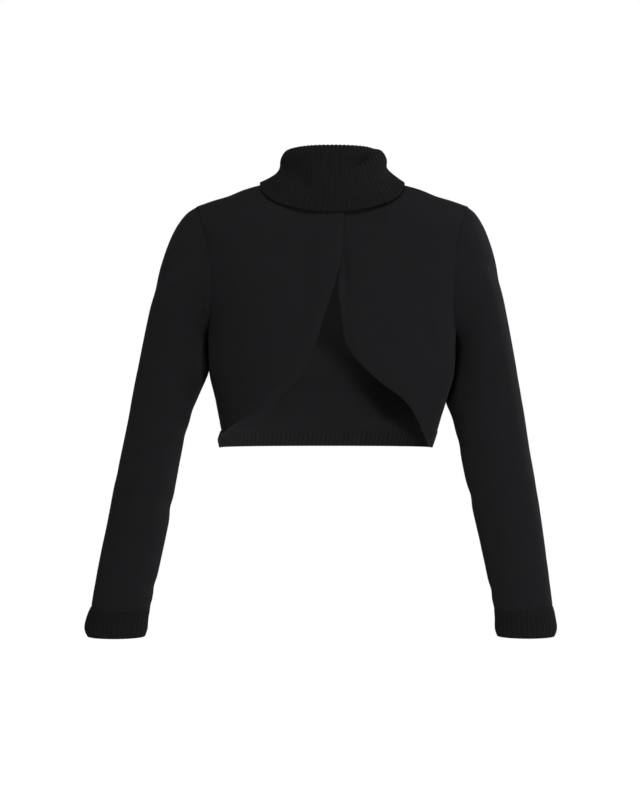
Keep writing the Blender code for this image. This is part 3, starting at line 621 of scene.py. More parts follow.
def add_stitches_map(mesh, rows, columns, around, stitches_map):
    """Writes the UV map in metres. On the seam of a tube the last cells read the extra column."""
    loops = np.zeros(len(mesh.loops), dtype=np.int64)
    mesh.loops.foreach_get("vertex_index", loops)
    face_of_loop = np.repeat(np.arange(len(mesh.polygons)), 4)
    r, c = np.divmod(loops % (rows * columns), columns)
    if around:
        most = np.zeros(len(mesh.polygons), dtype=np.int64)
        np.maximum.at(most, face_of_loop, c)
        least = np.full(len(mesh.polygons), columns)
        np.minimum.at(least, face_of_loop, c)
        wraps = (most - least > 1)[face_of_loop]
        c = np.where(wraps & (c == 0), columns, c)
    layer = mesh.uv_layers.new(name="stitches")
    layer.data.foreach_set("uv", stitches_map[r, c].astype(np.float32).ravel())


print("the looks go in the collection", collection.name)

# %% Mark the rim and soften it
RIM_ROUNDING = 0.00055
RIM_SEGMENTS = 2


def keep_attribute(mesh, name, kind, domain, values):
    """Writes one value or one direction for each point, edge or face."""
    field = "vector" if kind == "FLOAT_VECTOR" else "value"
    plain = values if kind == "BOOLEAN" else values.astype(np.float32)
    mesh.attributes.new(name, kind, domain).data.foreach_set(field, plain.ravel())


def mark_rim(mesh, rows, columns, around):
    """Gives a bevel weight to the edges along the rim, on both sides of the cloth."""
    on_rim = np.zeros(2 * rows * columns, dtype=bool)
    for line in rim_lines(rows, columns, around):
        on_rim[line] = True
        on_rim[line + rows * columns] = True
    ends = np.zeros(2 * len(mesh.edges), dtype=np.int64)
    mesh.edges.foreach_get("vertices", ends)
    ends = ends.reshape(-1, 2)
    same_side = ends[:, 0] // (rows * columns) == ends[:, 1] // (rows * columns)
    keep_attribute(mesh, "bevel_weight_edge", "FLOAT", "EDGE", on_rim[ends].all(axis=1) & same_side)


def soften_rim(obj):
    bevel = obj.modifiers.new("Soft rim", "BEVEL")
    bevel.limit_method = "WEIGHT"
    bevel.width = RIM_ROUNDING
    bevel.segments = RIM_SEGMENTS
    bevel.use_clamp_overlap = True


def settle(obj):
    """Replaces an object's mesh with what its modifiers make of it."""
    graph = bpy.context.evaluated_depsgraph_get()
    made = bpy.data.meshes.new_from_object(obj.evaluated_get(graph), depsgraph=graph)
    made.name = obj.name
    obj.modifiers.clear()
    obj.data = made
    made.calc_loop_triangles()
    print(obj.name, "has", len(made.loop_triangles), "triangles")
    return obj


def lengths_along(grid, axis):
    """The distance walked along the grid's rows or columns, from the first one."""
    steps = np.linalg.norm(np.diff(grid, axis=axis), axis=-1)
    start = np.zeros_like(np.take(steps, [0], axis=axis))
    return np.concatenate([start, np.cumsum(steps, axis=axis)], axis=axis)


print("walls are", CLOTH * 1000, "mm thick, as the frame's are")

# %% [markdown]
# ## The panels of the body
#
# A panel is a grid from its foot up to the neckline and the shoulder seam. Its rows are level
# below the underarm, and above it they fan out so that each one ends on the armhole. Its columns
# meet the corner where the neckline becomes the shoulder seam, so that the corner stays crisp.

# %% Grid of a body panel
SIDE_STEPS = 62
NECK_STEPS = 36
SHOULDER_STEPS = 50
TOP_TURNS = 12


def top_shares(face, first_x, last_x):
    """Where the columns meet the panel's upper edge, as shares of it."""
    side = math.copysign(1.0, last_x)
    start = math.asin(max(first_x * side / NECK_HALF, -1.0))
    angles = start + (0.5 * math.pi - start) * np.arange(NECK_STEPS) / NECK_STEPS
    shoulder = np.linspace(NECK_HALF, abs(last_x), SHOULDER_STEPS + 1)
    if face == BACK:
        angles = np.linspace(-0.5 * math.pi, 0.5 * math.pi, 2 * NECK_STEPS + 1)
        places = np.concatenate([-shoulder[:0:-1], NECK_HALF * np.sin(angles), shoulder[1:]])
    else:
        places = side * np.concatenate([NECK_HALF * np.sin(angles), shoulder])
    turns = turn_of(places, top_line(places, face)[1])
    return (turns - turns[0]) / (turns[-1] - turns[0])


def panel_grid(face, foot, first_turn, last_turn, shares, first_arm, last_arm):
    """Points of a panel. An edge follows an angle at each height, or the armhole's own points.

    The top edge is higher at some places than at others, so x and z are found in turns.
    """
    even = np.linspace(0.0, 1.0, len(shares))[None, :]
    z = np.linspace(foot, UNDERARM_Z, SIDE_STEPS, endpoint=False)[:, None] + 0.0 * even
    first, last = first_turn(z), last_turn(z)
    x = x_of(first + (last - first) * even, z)
    lower = np.stack([x, body_depth(x, z, face), z], axis=-1)
    rise = 0.5 * (1 - np.cos(math.pi * np.arange(ARM_STEPS + 1) / ARM_STEPS))[:, None]
    share = even + (shares[None, :] - even) * rise
    z = UNDERARM_Z + (NECK_FRONT_Z - UNDERARM_Z) * rise + 0.0 * share
    for _ in range(TOP_TURNS):
        first = first_turn(z) if first_arm is None else turn_of(first_arm[:, :1], first_arm[:, 2:])
        last = last_turn(z) if last_arm is None else turn_of(last_arm[:, :1], last_arm[:, 2:])
        x = x_of(first + (last - first) * share, z)
        z = UNDERARM_Z + (top_line(x, face)[1] - UNDERARM_Z) * rise
    upper = np.stack([x, body_depth(x, z, face), z], axis=-1)
    if first_arm is not None:
        upper[:, 0] = first_arm
    if last_arm is not None:
        upper[:, -1] = last_arm
    return np.concatenate([lower, upper])


front_size = (SIDE_STEPS + ARM_STEPS + 1, NECK_STEPS + SHOULDER_STEPS + 1)
print("a front has", front_size[0], "rows of", front_size[1], "points")

# %% [markdown]
# ## Seams and free edges of a panel
#
# Where two panels meet, each one stops half a seam short of the line that they share, and the
# thickness of the cloth is turned so that both rims lie flat against each other. That turn is
# then spread over a few stitches, because cloth never bends in one step. The side that shows
# sinks a little towards each seam, where the thread pulls the cloth down.

# %% Seat a panel's rims on the seams
NORMAL_PASSES = 8
SEAM_SINK = 0.0002
SEAM_SOFTNESS = 0.0045


def armhole_order(face):
    """The armhole's points from the underarm up to the shoulder, by the front or the back."""
    return np.arange(ARM_STEPS + 1) * (1 if face == FRONT else -1) % (2 * ARM_STEPS)


def seat_side(grid, normals, side, column, face):
    """Lays one side of a panel on the side seam and the armhole, half a seam short of them."""
    points, outward, across = armholes[side]
    order = armhole_order(face)
    grid[:SIDE_STEPS, column, 1] += face * 0.5 * SEAM
    normals[:SIDE_STEPS, column] = (side, 0.0, 0.0)
    grid[SIDE_STEPS:, column] = points[order] - 0.5 * SEAM * across[order]
    normals[SIDE_STEPS:, column] = outward[order]
    grid[SIDE_STEPS, column, 1] = face * 0.5 * SEAM
    grid[-1, column, 1] = SHOULDER_Y + face * 0.5 * SEAM


def seat_top(grid, normals, face):
    """Along the shoulder seam and the neckline the thickness goes straight down."""
    grid[-1, :, 1] += face * 0.5 * SEAM
    normals[-1, :, 1] = 0.0
    on_neck = np.abs(grid[-1, :, 0]) < NECK_HALF
    normals[-1, on_neck] = (0.0, 0.0, 1.0)
    normals[-1] = unit(normals[-1])


def spread_normals(normals):
    """Evens out the directions inside the rim, which stays as it is."""
    for _ in range(NORMAL_PASSES):
        inner = normals[:-2, 1:-1] + normals[2:, 1:-1] + normals[1:-1, :-2] + normals[1:-1, 2:]
        normals[1:-1, 1:-1] = unit(inner)
    return unit(normals)


def keep_behind_seams(hidden, face):
    """Keeps the hidden side of a panel from crossing into the panel that it is sewn to."""
    limit = np.full(hidden.shape[:2], SHOULDER_Y)
    limit[: SIDE_STEPS + 1] = 0.0
    too_far = face * (hidden[..., 1] - limit) < 0.5 * SEAM
    hidden[..., 1] = np.where(too_far, limit + face * 0.5 * SEAM, hidden[..., 1])


def seam_sink(distance):
    """How far the cloth sinks at a distance from a seam."""
    return SEAM_SINK * np.exp(-((distance / SEAM_SOFTNESS) ** 2))


def sink_seams(grid, normals, at_seams):
    """Sinks the side that shows where its foot, top, first column and last column are seams."""
    up, across = lengths_along(grid, 0), lengths_along(grid, 1)
    distances = (up, up[-1:] - up, across, across[:, -1:] - across)
    sinks = [seam_sink(distance) for distance, is_seam in zip(distances, at_seams) if is_seam]
    return grid - normals * np.max(sinks, axis=0)[..., None]


print("beside a seam the cloth sinks by", SEAM_SINK * 1000, "mm")

# %% The stitch map and the wall of a panel
def panel_stitches_map(grid):
    """Across the stitches from the centre line of the body, and up along them."""
    across = lengths_along(grid, 1)
    rows = np.arange(len(grid))
    middle = np.argmin(np.abs(grid[..., 0]), axis=1)
    walked = math.copysign(1.0, grid[0, -1, 0] - grid[0, 0, 0])
    start = walked * grid[rows, middle, 0] - across[rows, middle]
    return np.stack([across + start[:, None], lengths_along(grid, 0) + grid[0, 0, 2]], axis=-1)


def finish_panel(name, face, grid, sides, at_seams, proud=0.0):
    """The wall of a panel. sides lists each side that is sewn, with its column in the grid."""
    normals = grid_normals(grid, False)
    normals *= np.sign(face * normals[..., 1].mean())
    seat_top(grid, normals, face)
    for side, column in sides:
        seat_side(grid, normals, side, column, face)
    if at_seams[0]:
        # a foot that is linked to a band is cut level
        normals[0, :, 2] = 0.0
    normals = spread_normals(normals)
    shown = sink_seams(grid, normals, at_seams) + normals * np.asarray(proud)[..., None]
    hidden = grid - CLOTH * normals
    keep_behind_seams(hidden, face)
    obj = cloth_wall(name, shown, hidden, False, panel_stitches_map(grid), (jersey, jersey_inside))
    soften_rim(obj)
    return settle(obj), grid

# %% [markdown]
# ## The cut-away fronts
#
# The right front laps over the left one at the chest. Both free edges are finished with a turned
# edge: the last 13 mm are two layers thick, and they roll. Below the lap the right front's edge
# rolls in towards the body, which makes the light strip along it, and a short stretch of the left
# front's edge curls out. Both rolls come from one distance, measured square to the edge.

# %% Sizes of the free edges
EDGE_COLUMNS = ("height", "edge_x")
RIGHT_EDGE_ROWS = (
    (-0.346, -0.1515),
    (-0.333, -0.1330),
    (-0.318, -0.1090),
    (-0.297, -0.0780),
    (-0.2808, -0.0556),
    (-0.2577, -0.0372),
    (-0.2213, -0.0214),
    (-0.1790, -0.0093),
    (-0.1385, 0.0047),
    (-0.0880, 0.0142),
    (-0.0300, 0.0160),
)
LEFT_EDGE_ROWS = (
    (-0.3650, 0.1360),
    (-0.3413, 0.1236),
    (-0.3245, 0.1150),
    (-0.3010, 0.0977),
    (-0.2778, 0.0670),
    (-0.2471, 0.0339),
    (-0.2328, 0.0233),
    (-0.2194, 0.0166),
    (-0.1694, 0.0099),
    (-0.1385, 0.0047),
    (-0.0300, -0.0040),
)
RIGHT_FRONT_FOOT = -0.3455
LEFT_FRONT_FOOT = -0.3645
BACK_FOOT = -0.3440
FOOT_TUCK = 0.0009
LAP_START_X = -0.040
LAP_END_X = -0.008
LAP_OUT_SEWN = 0.0026
LAP_OUT_FREE = 0.0052
LAP_SEWN_TO_Z = -0.070
LAP_ENDS_Z = -0.1385
LAP_ROLL = 0.0022
LAP_SETTLES = 0.020
EDGE_ROLL = 0.0085
EDGE_ROLL_WIDTH = 0.018
ROLL_GROWS = 0.050
ROLL_FADES_FROM_Z = -0.290
ROLL_FADES_TO_Z = -0.340
LEFT_ROLL_SHARE = 0.4
TURNED_EDGE = 0.013
TURNED_SHOULDER = 0.003
TURNED_HEIGHT = 0.0006
CURL_OUT = 0.0020
CURL_MIDDLE_Z = -0.190
CURL_HALF_LENGTH = 0.026
print("the fronts lap down to z", LAP_ENDS_Z, "and their edges are turned by", TURNED_EDGE)

# %% Lap, roll and thicken the free edges
def distance_from_edge(grid, edge_at):
    """How far each point lies from the free edge, measured square to it."""
    step = 0.002
    x, z = grid[..., 0], grid[..., 2]
    slope = (edge_at(z + step)["edge_x"] - edge_at(z - step)["edge_x"]) / (2 * step)
    return np.abs(x - edge_at(z)["edge_x"]) / np.hypot(1.0, slope)


def shape_edge(grid, side, edge_at):
    """Moves the cloth near a free edge in or out, for the lap, the rolls and the curl."""
    x, z = grid[..., 0], grid[..., 2]
    near = np.maximum(0.0, 1 - distance_from_edge(grid, edge_at) / EDGE_ROLL_WIDTH) ** 2
    below = ramp(-z, -LAP_ENDS_Z, -LAP_ENDS_Z + ROLL_GROWS)
    fading = ramp(z, ROLL_FADES_TO_Z, ROLL_FADES_FROM_Z)
    free = ramp(-z, -LAP_SEWN_TO_Z - LAP_SETTLES, -LAP_SEWN_TO_Z + LAP_SETTLES)
    if side == RIGHT:
        lap = LAP_OUT_SEWN + (LAP_OUT_FREE - LAP_OUT_SEWN) * free
        grid[..., 1] += near * fading * (LAP_ROLL * free * (1 - below) + EDGE_ROLL * below)
        grid[..., 1] -= lap * ramp(x, LAP_START_X, LAP_END_X)
    else:
        curl = CURL_OUT * np.exp(-(((z - CURL_MIDDLE_Z) / CURL_HALF_LENGTH) ** 2))
        grid[..., 1] += near * (fading * free * LEFT_ROLL_SHARE * EDGE_ROLL - curl)


def turned_edge_height(distance):
    """How far the two layers of a turned edge stand proud of the cloth beside it."""
    return TURNED_HEIGHT * ramp(-distance, -TURNED_EDGE - TURNED_SHOULDER, -TURNED_EDGE)

# %% Make the two fronts
def front_panel(name, side, edge_rows, foot):
    edge_at = smooth_table(EDGE_COLUMNS, edge_rows)
    first_x = float(edge_at(np.array(NECK_FRONT_Z))["edge_x"])
    grid = panel_grid(
        FRONT,
        foot,
        lambda z: turn_of(edge_at(z)["edge_x"], z),
        lambda z: np.full_like(z, side * 0.5 * math.pi),
        top_shares(FRONT, first_x, side * SHOULDER_POINT_X),
        None,
        armholes[side][0][armhole_order(FRONT)],
    )
    proud = turned_edge_height(distance_from_edge(grid, edge_at))
    shape_edge(grid, side, edge_at)
    return finish_panel(name, FRONT, grid, ((side, -1),), (False, True, False, True), proud)


front_right, right_grid = front_panel("front_right_cloth", RIGHT, RIGHT_EDGE_ROWS, RIGHT_FRONT_FOOT)
front_left, left_grid = front_panel("front_left_cloth", LEFT, LEFT_EDGE_ROWS, LEFT_FRONT_FOOT)

# %% [markdown]
# ## The back
#
# The back is one panel from side seam to side seam. Its foot is linked to the hem band, and is
# tucked a little way behind the band's upper edge, so that no light comes through the join.

# %% Make the back
def back_panel():
    order = armhole_order(BACK)
    grid = panel_grid(
        BACK,
        BACK_FOOT - FOOT_TUCK,
        lambda z: np.full_like(z, -0.5 * math.pi),
        lambda z: np.full_like(z, 0.5 * math.pi),
        top_shares(BACK, -SHOULDER_POINT_X, SHOULDER_POINT_X),
        armholes[RIGHT][0][order],
        armholes[LEFT][0][order],
    )
    return finish_panel("back_cloth", BACK, grid, ((RIGHT, 0), (LEFT, -1)), 4 * (True,))


back, back_grid = back_panel()

# %% [markdown]
# ## Ribs
#
# Rib knitting goes forward and back in turn, a few columns of stitches at a time, so it stands in
# soft ridges with narrow valleys. The collar, the cuffs and the hem band all have it. One Geometry
# Nodes tree raises the ribs on all of them. Each point carries its place across the ribs, where
# every whole number is a valley, and the direction and share of its rise. The tree turns the
# place into a ridge and moves the point. The hidden side has a share of nothing and stays plain.
# The first cell below holds the helpers that every tree of this kind needs.

# %% Helpers for trees that change a mesh
def new_geometry_tree(name, inputs):
    tree = bpy.data.node_groups.new(name, "GeometryNodeTree")
    tree.is_modifier = True
    tree.interface.new_socket("Geometry", in_out="INPUT", socket_type="NodeSocketGeometry")
    for label, socket_type, value in inputs:
        socket = tree.interface.new_socket(label, in_out="INPUT", socket_type=socket_type)
        if value is not None:
            socket.default_value = value
    tree.interface.new_socket("Geometry", in_out="OUTPUT", socket_type="NodeSocketGeometry")
    given = tree.nodes.new("NodeGroupInput").outputs
    return tree, given, tree.nodes.new("NodeGroupOutput").inputs


def named_attribute(tree, name, data_type):
    node = tree.nodes.new("GeometryNodeInputNamedAttribute")
    node.data_type = data_type
    node.inputs["Name"].default_value = name
    return node.outputs["Attribute"]


def finish_tree(tree, geometry, material, made, hidden_material=None):
    """Every tree ends by making its instances real and giving them their material."""
    real = tree.nodes.new("GeometryNodeRealizeInstances")
    tree.links.new(geometry, real.inputs["Geometry"])
    done = real.outputs["Geometry"]
    for knit, chosen in ((material, None), (hidden_material, "hidden_face")):
        if knit is not None:
            paint = tree.nodes.new("GeometryNodeSetMaterial")
            tree.links.new(done, paint.inputs["Geometry"])
            tree.links.new(knit, paint.inputs["Material"])
            if chosen:
                tree.links.new(named_attribute(tree, chosen, "BOOLEAN"), paint.inputs["Selection"])
            done = paint.outputs["Geometry"]
    tree.links.new(done, made["Geometry"])


def run_tree(obj, tree, values):
    """Adds the tree as a modifier and sets its inputs by the identifiers of their sockets."""
    modifier = obj.modifiers.new(tree.name, "NODES")
    modifier.node_group = tree
    for item in tree.interface.items_tree:
        if item.in_out == "INPUT" and item.name in values:
            modifier[item.identifier] = values[item.name]
    return modifier


print("shader groups so far:", [group.name for group in bpy.data.node_groups])

# %% The tree that raises the ribs
RIB_HEIGHT = 0.0009
VALLEY_NARROWNESS = 2.2


def rib_tree():
    tree, given, made = new_geometry_tree(
        "raise_ribs",
        (
            ("Rib height", "NodeSocketFloat", RIB_HEIGHT),
            ("Valley narrowness", "NodeSocketFloat", VALLEY_NARROWNESS),
            ("Rib knit", "NodeSocketMaterial", None),
            ("Hidden knit", "NodeSocketMaterial", None),
        ),
    )
    in_valley = wave(tree, named_attribute(tree, "rib_place", "FLOAT"))
    narrow = calculate(tree, "POWER", in_valley, given["Valley narrowness"])
    ridge = calculate(tree, "SUBTRACT", 1.0, narrow)
    rise = calculate(tree, "MULTIPLY", ridge, given["Rib height"])
    offset = tree.nodes.new("ShaderNodeVectorMath")
    offset.operation = "SCALE"
    tree.links.new(named_attribute(tree, "rib_out", "FLOAT_VECTOR"), offset.inputs[0])
    tree.links.new(rise, offset.inputs["Scale"])
    move = tree.nodes.new("GeometryNodeSetPosition")
    tree.links.new(given["Geometry"], move.inputs["Geometry"])
    tree.links.new(offset.outputs[0], move.inputs["Offset"])
    finish_tree(tree, move.outputs["Geometry"], given["Rib knit"], made, given["Hidden knit"])
    return tree


raise_ribs = rib_tree()
print("a rib stands", RIB_HEIGHT * 1000, "mm proud of its valley")

# %% A ribbed wall and its even columns
def rib_wall(name, grid, normals, around, ribs, columns_per_rib, shares):
    """A ribbed wall. shares says how far the ribs rise on each row, from 0 to 1."""
    rows, columns = grid.shape[:2]
    place = np.arange(columns + 1 if around else columns) / columns_per_rib
    down = lengths_along(grid, 0)
    down = np.concatenate([down, down[:, :1]], axis=1) if around else down
    across = np.broadcast_to(place * WALES_PER_RIB * WALE, down.shape)
    stitches_map = np.stack([across, down], axis=-1)
    obj = cloth_wall(name, grid, grid - CLOTH * normals, around, stitches_map, (ribbing,))
    rib_place = np.tile(place[:columns], 2 * rows)
    rib_out = np.concatenate([normals * np.asarray(shares)[:, None, None], np.zeros_like(normals)])
    hidden_face = np.zeros(len(obj.data.polygons), dtype=bool)
    hidden_face[len(cell_corners(rows, columns, around).reshape(-1, 4)) :] = True
    keep_attribute(obj.data, "rib_place", "FLOAT", "POINT", rib_place)
    keep_attribute(obj.data, "rib_out", "FLOAT_VECTOR", "POINT", rib_out)
    keep_attribute(obj.data, "hidden_face", "BOOLEAN", "FACE", hidden_face)
    run_tree(obj, raise_ribs, {"Rib knit": ribbing, "Hidden knit": ribbing_inside})
    soften_rim(obj)
    print(name, "has", ribs, "ribs")
    return settle(obj)


def make_level(normals):
    """The same directions with no rise or fall in them, for a band that is cut level."""
    return unit(normals * (1.0, 1.0, 0.0))


def spread_evenly(points, count, around):
    """The same line of points with equal steps along it."""
    line = np.vstack([points, points[:1]]) if around else points
    lengths = lengths_along(line, 0)
    places = np.linspace(0.0, lengths[-1], count + 1 if around else count)
    spread = np.stack([np.interp(places, lengths, line[:, k]) for k in range(3)], axis=1)
    return spread[:-1] if around else spread

# %% [markdown]
# ## The hem band
#
# The band is knitted in rib and sewn to the foot of the back, from side seam to side seam. At the
# wearer's right it stands a little away from the body, as a free corner of rib does.

# %% Make the hem band
HEM_TOP = -0.3443
HEM_FOOT = -0.3665
HEM_OUT = 0.0008
HEM_FLARE = 0.0045
HEM_FLARE_WIDTH = 0.020
HEM_FLARE_LEVELS = (0.0, 0.5, 1.0)
HEM_FLARE_SHARES = (0.25, 1.0, 0.45)
HEM_RIBS = 60
HEM_ROWS = 16
HEM_COLUMNS_PER_RIB = 8
HEM_RIBS_GROW = (-1.0, 2.0)
FINE_STEPS = 720


def hem_band():
    turns = np.linspace(-0.5 * math.pi, 0.5 * math.pi, FINE_STEPS + 1)
    rings = []
    for z in np.linspace(HEM_TOP, HEM_FOOT, HEM_ROWS):
        level = np.full_like(turns, z)
        x = x_of(turns, level)
        line = np.stack([x, body_depth(x, level, BACK), level], axis=-1)
        rings.append(spread_evenly(line, HEM_RIBS * HEM_COLUMNS_PER_RIB + 1, False))
    grid = np.array(rings)
    normals = grid_normals(grid, False)
    normals = make_level(normals * np.sign(normals[..., 1].mean()))
    normals[:, 0] = (-1.0, 0.0, 0.0)
    normals[:, -1] = (1.0, 0.0, 0.0)
    grid[:, (0, -1), 1] = 0.5 * SEAM
    levels = np.interp(np.linspace(0.0, 1.0, HEM_ROWS), HEM_FLARE_LEVELS, HEM_FLARE_SHARES)
    reach = grid[..., 0] - grid[:, :1, 0]
    flare = HEM_FLARE * levels[:, None] * np.clip(1 - reach / HEM_FLARE_WIDTH, 0.0, 1.0) ** 2
    grid = grid + normals * (HEM_OUT + flare)[..., None]
    shares = ramp(np.arange(HEM_ROWS), *HEM_RIBS_GROW)
    form = (False, HEM_RIBS, HEM_COLUMNS_PER_RIB, shares)
    return rib_wall("hem_band_cloth", grid, normals, *form), grid


hem, hem_grid = hem_band()

# %% [markdown]
# ## The sleeves
#
# A sleeve is a tube. Its head follows the armhole's line and is sewn to it, and below that the
# tube narrows down to the cuff along two lines, the outer one over the elbow and the inner one.
# The sizes are given for a ring at each level, and every ring is an oval between those lines.

# %% Sizes of the sleeves
SLEEVE_COLUMNS = ("outer_x", "outer_z", "inner_x", "inner_z", "front", "back", "middle_y")
LEFT_SLEEVE_ROWS = (
    (0.1890, -0.0290, 0.1730, -0.2120, 0.0500, 0.0520, 0.0020),
    (0.2006, -0.0390, 0.1738, -0.2150, 0.0505, 0.0525, 0.0030),
    (0.2153, -0.0640, 0.1734, -0.2210, 0.0510, 0.0530, 0.0050),
    (0.2292, -0.1060, 0.1730, -0.2300, 0.0505, 0.0525, 0.0080),
    (0.2421, -0.1650, 0.1724, -0.2430, 0.0495, 0.0515, 0.0110),
    (0.2551, -0.2320, 0.1699, -0.2640, 0.0480, 0.0500, 0.0140),
    (0.2669, -0.3000, 0.1602, -0.3010, 0.0465, 0.0480, 0.0150),
    (0.2706, -0.3220, 0.1672, -0.3220, 0.0455, 0.0470, 0.0145),
    (0.2772, -0.3670, 0.1786, -0.3670, 0.0435, 0.0450, 0.0125),
    (0.2839, -0.4060, 0.1865, -0.4060, 0.0420, 0.0435, 0.0100),
    (0.2909, -0.4510, 0.1964, -0.4510, 0.0400, 0.0410, 0.0060),
    (0.2967, -0.4960, 0.2064, -0.4960, 0.0375, 0.0385, 0.0010),
    (0.3020, -0.5400, 0.2156, -0.5400, 0.0350, 0.0355, -0.0050),
    (0.3073, -0.5885, 0.2250, -0.5885, 0.0315, 0.0320, -0.0120),
)
RIGHT_SLEEVE_ROWS = (
    (-0.1890, -0.0290, -0.1735, -0.2120, 0.0500, 0.0520, 0.0020),
    (-0.2036, -0.0390, -0.1745, -0.2150, 0.0505, 0.0525, 0.0025),
    (-0.2215, -0.0640, -0.1737, -0.2210, 0.0510, 0.0530, 0.0035),
    (-0.2380, -0.1060, -0.1734, -0.2300, 0.0505, 0.0525, 0.0050),
    (-0.2537, -0.1650, -0.1733, -0.2420, 0.0495, 0.0515, 0.0065),
    (-0.2679, -0.2320, -0.1728, -0.2575, 0.0480, 0.0500, 0.0075),
    (-0.2813, -0.3000, -0.1880, -0.2960, 0.0465, 0.0480, 0.0075),
    (-0.2850, -0.3220, -0.1972, -0.3220, 0.0455, 0.0470, 0.0070),
    (-0.2940, -0.3670, -0.2097, -0.3670, 0.0430, 0.0445, 0.0050),
    (-0.3044, -0.4170, -0.2191, -0.4170, 0.0410, 0.0425, 0.0020),
    (-0.3147, -0.4730, -0.2288, -0.4730, 0.0385, 0.0395, -0.0030),
    (-0.3237, -0.5180, -0.2380, -0.5180, 0.0360, 0.0370, -0.0080),
    (-0.3316, -0.5630, -0.2478, -0.5630, 0.0335, 0.0340, -0.0130),
    (-0.3354, -0.5885, -0.2533, -0.5885, 0.0315, 0.0320, -0.0160),
)
SLEEVE_FOLD_COLUMNS = ("angle", "z", "slope", "spread", "width", "depth")
LEFT_SLEEVE_FOLD_ROWS = (
    (66.0, -0.285, 0.020, 34.0, 0.012, -0.0030),
    (40.0, -0.372, -0.016, 60.0, 0.013, -0.0026),
    (20.0, -0.430, 0.012, 60.0, 0.012, -0.0024),
    (150.0, -0.120, -0.020, 45.0, 0.018, -0.0022),
    (35.0, -0.562, 0.006, 70.0, 0.009, -0.0020),
    (300.0, -0.350, 0.020, 60.0, 0.014, -0.0026),
    (75.0, -0.322, 0.012, 48.0, 0.010, -0.0021),
    (112.0, -0.405, -0.010, 44.0, 0.011, 0.0016),
    (78.0, -0.478, 0.010, 52.0, 0.011, -0.0022),
    (118.0, -0.530, 0.006, 44.0, 0.009, -0.0015),
    (62.0, -0.5650, 0.003, 34.0, 0.0034, -0.0009),
    (82.0, -0.248, 0.016, 36.0, 0.011, -0.0012),
    (255.0, -0.290, -0.014, 52.0, 0.013, -0.0018),
    (238.0, -0.405, 0.016, 58.0, 0.012, -0.0016),
    (285.0, -0.455, -0.010, 48.0, 0.011, -0.0014),
    (262.0, -0.540, 0.008, 60.0, 0.010, -0.0013),
)
RIGHT_SLEEVE_FOLD_ROWS = (
    (68.0, -0.275, 0.024, 34.0, 0.012, -0.0030),
    (45.0, -0.360, -0.014, 60.0, 0.013, -0.0024),
    (25.0, -0.445, 0.014, 60.0, 0.012, -0.0024),
    (145.0, -0.130, -0.022, 45.0, 0.018, -0.0022),
    (30.0, -0.556, 0.006, 70.0, 0.009, -0.0018),
    (310.0, -0.330, 0.018, 60.0, 0.014, -0.0026),
    (80.0, -0.318, 0.012, 46.0, 0.012, -0.0018),
    (100.0, -0.410, -0.008, 50.0, 0.014, 0.0014),
    (74.0, -0.500, 0.008, 48.0, 0.012, -0.0018),
    (52.0, -0.185, 0.030, 30.0, 0.030, -0.0034),
    (58.0, -0.230, 0.020, 34.0, 0.011, -0.0012),
    (250.0, -0.275, -0.016, 50.0, 0.013, -0.0018),
    (232.0, -0.390, 0.014, 60.0, 0.013, -0.0015),
    (290.0, -0.470, -0.012, 50.0, 0.012, -0.0015),
    (258.0, -0.545, 0.006, 56.0, 0.010, -0.0012),
)
SLEEVE_ROUND = 120
SLEEVE_ROWS_DOWN = 260
SLEEVE_CROWDING = 1.15
HEAD_BLEND = 0.20
FOLDS_START = 0.012
for word, rows in (("left", LEFT_SLEEVE_FOLD_ROWS), ("right", RIGHT_SLEEVE_FOLD_ROWS)):
    print("the", word, "sleeve has", len(rows), "folds")

# %% [markdown]
# ## The sleeve's grid
#
# The underarm is angle 0, the front is a quarter turn, and the outer line is half a turn. The
# sleeve's folds run round it, because a bent arm pushes the cloth into rings, and each is a row
# of the table above.

# %% Sections, folds and directions of a tube
def sleeve_section(row, angles):
    """An oval between the inner line and the outer line of the sleeve."""
    share = 0.5 * (1 - np.cos(angles))
    x = row["inner_x"] + (row["outer_x"] - row["inner_x"]) * share
    z = row["inner_z"] + (row["outer_z"] - row["inner_z"]) * share
    depth = np.where(np.sin(angles) > 0, row["front"], row["back"])
    return np.stack([x, row["middle_y"] - depth * np.sin(angles), z], axis=-1)


def sleeve_fold(angles, z, rows):
    total = np.zeros_like(z)
    for row in rows:
        fold = dict(zip(SLEEVE_FOLD_COLUMNS, row))
        away = (np.degrees(angles) - fold["angle"] + 180.0) % 360.0 - 180.0
        share = away / fold["spread"]
        lift = z - fold["z"] - fold["slope"] * share
        total += fold["depth"] * np.exp(-(share**2) - (lift / fold["width"]) ** 2)
    return total


def tube_normals(grid):
    """Square to a tube's grid, and away from the tube's middle."""
    normals = grid_normals(grid, True)
    middle = grid.mean(axis=1, keepdims=True)
    return normals * np.sign(np.sum(normals * (grid - middle), axis=2).mean())


def close_map(grid):
    """The stitch map of a tube, in metres: round it from the outer line, and down it."""
    closed = np.concatenate([grid, grid[:, :1]], axis=1)
    across = lengths_along(closed, 1)
    across = across - across[:, grid.shape[1] // 2][:, None]
    return np.stack([across, -lengths_along(closed, 0)], axis=-1)

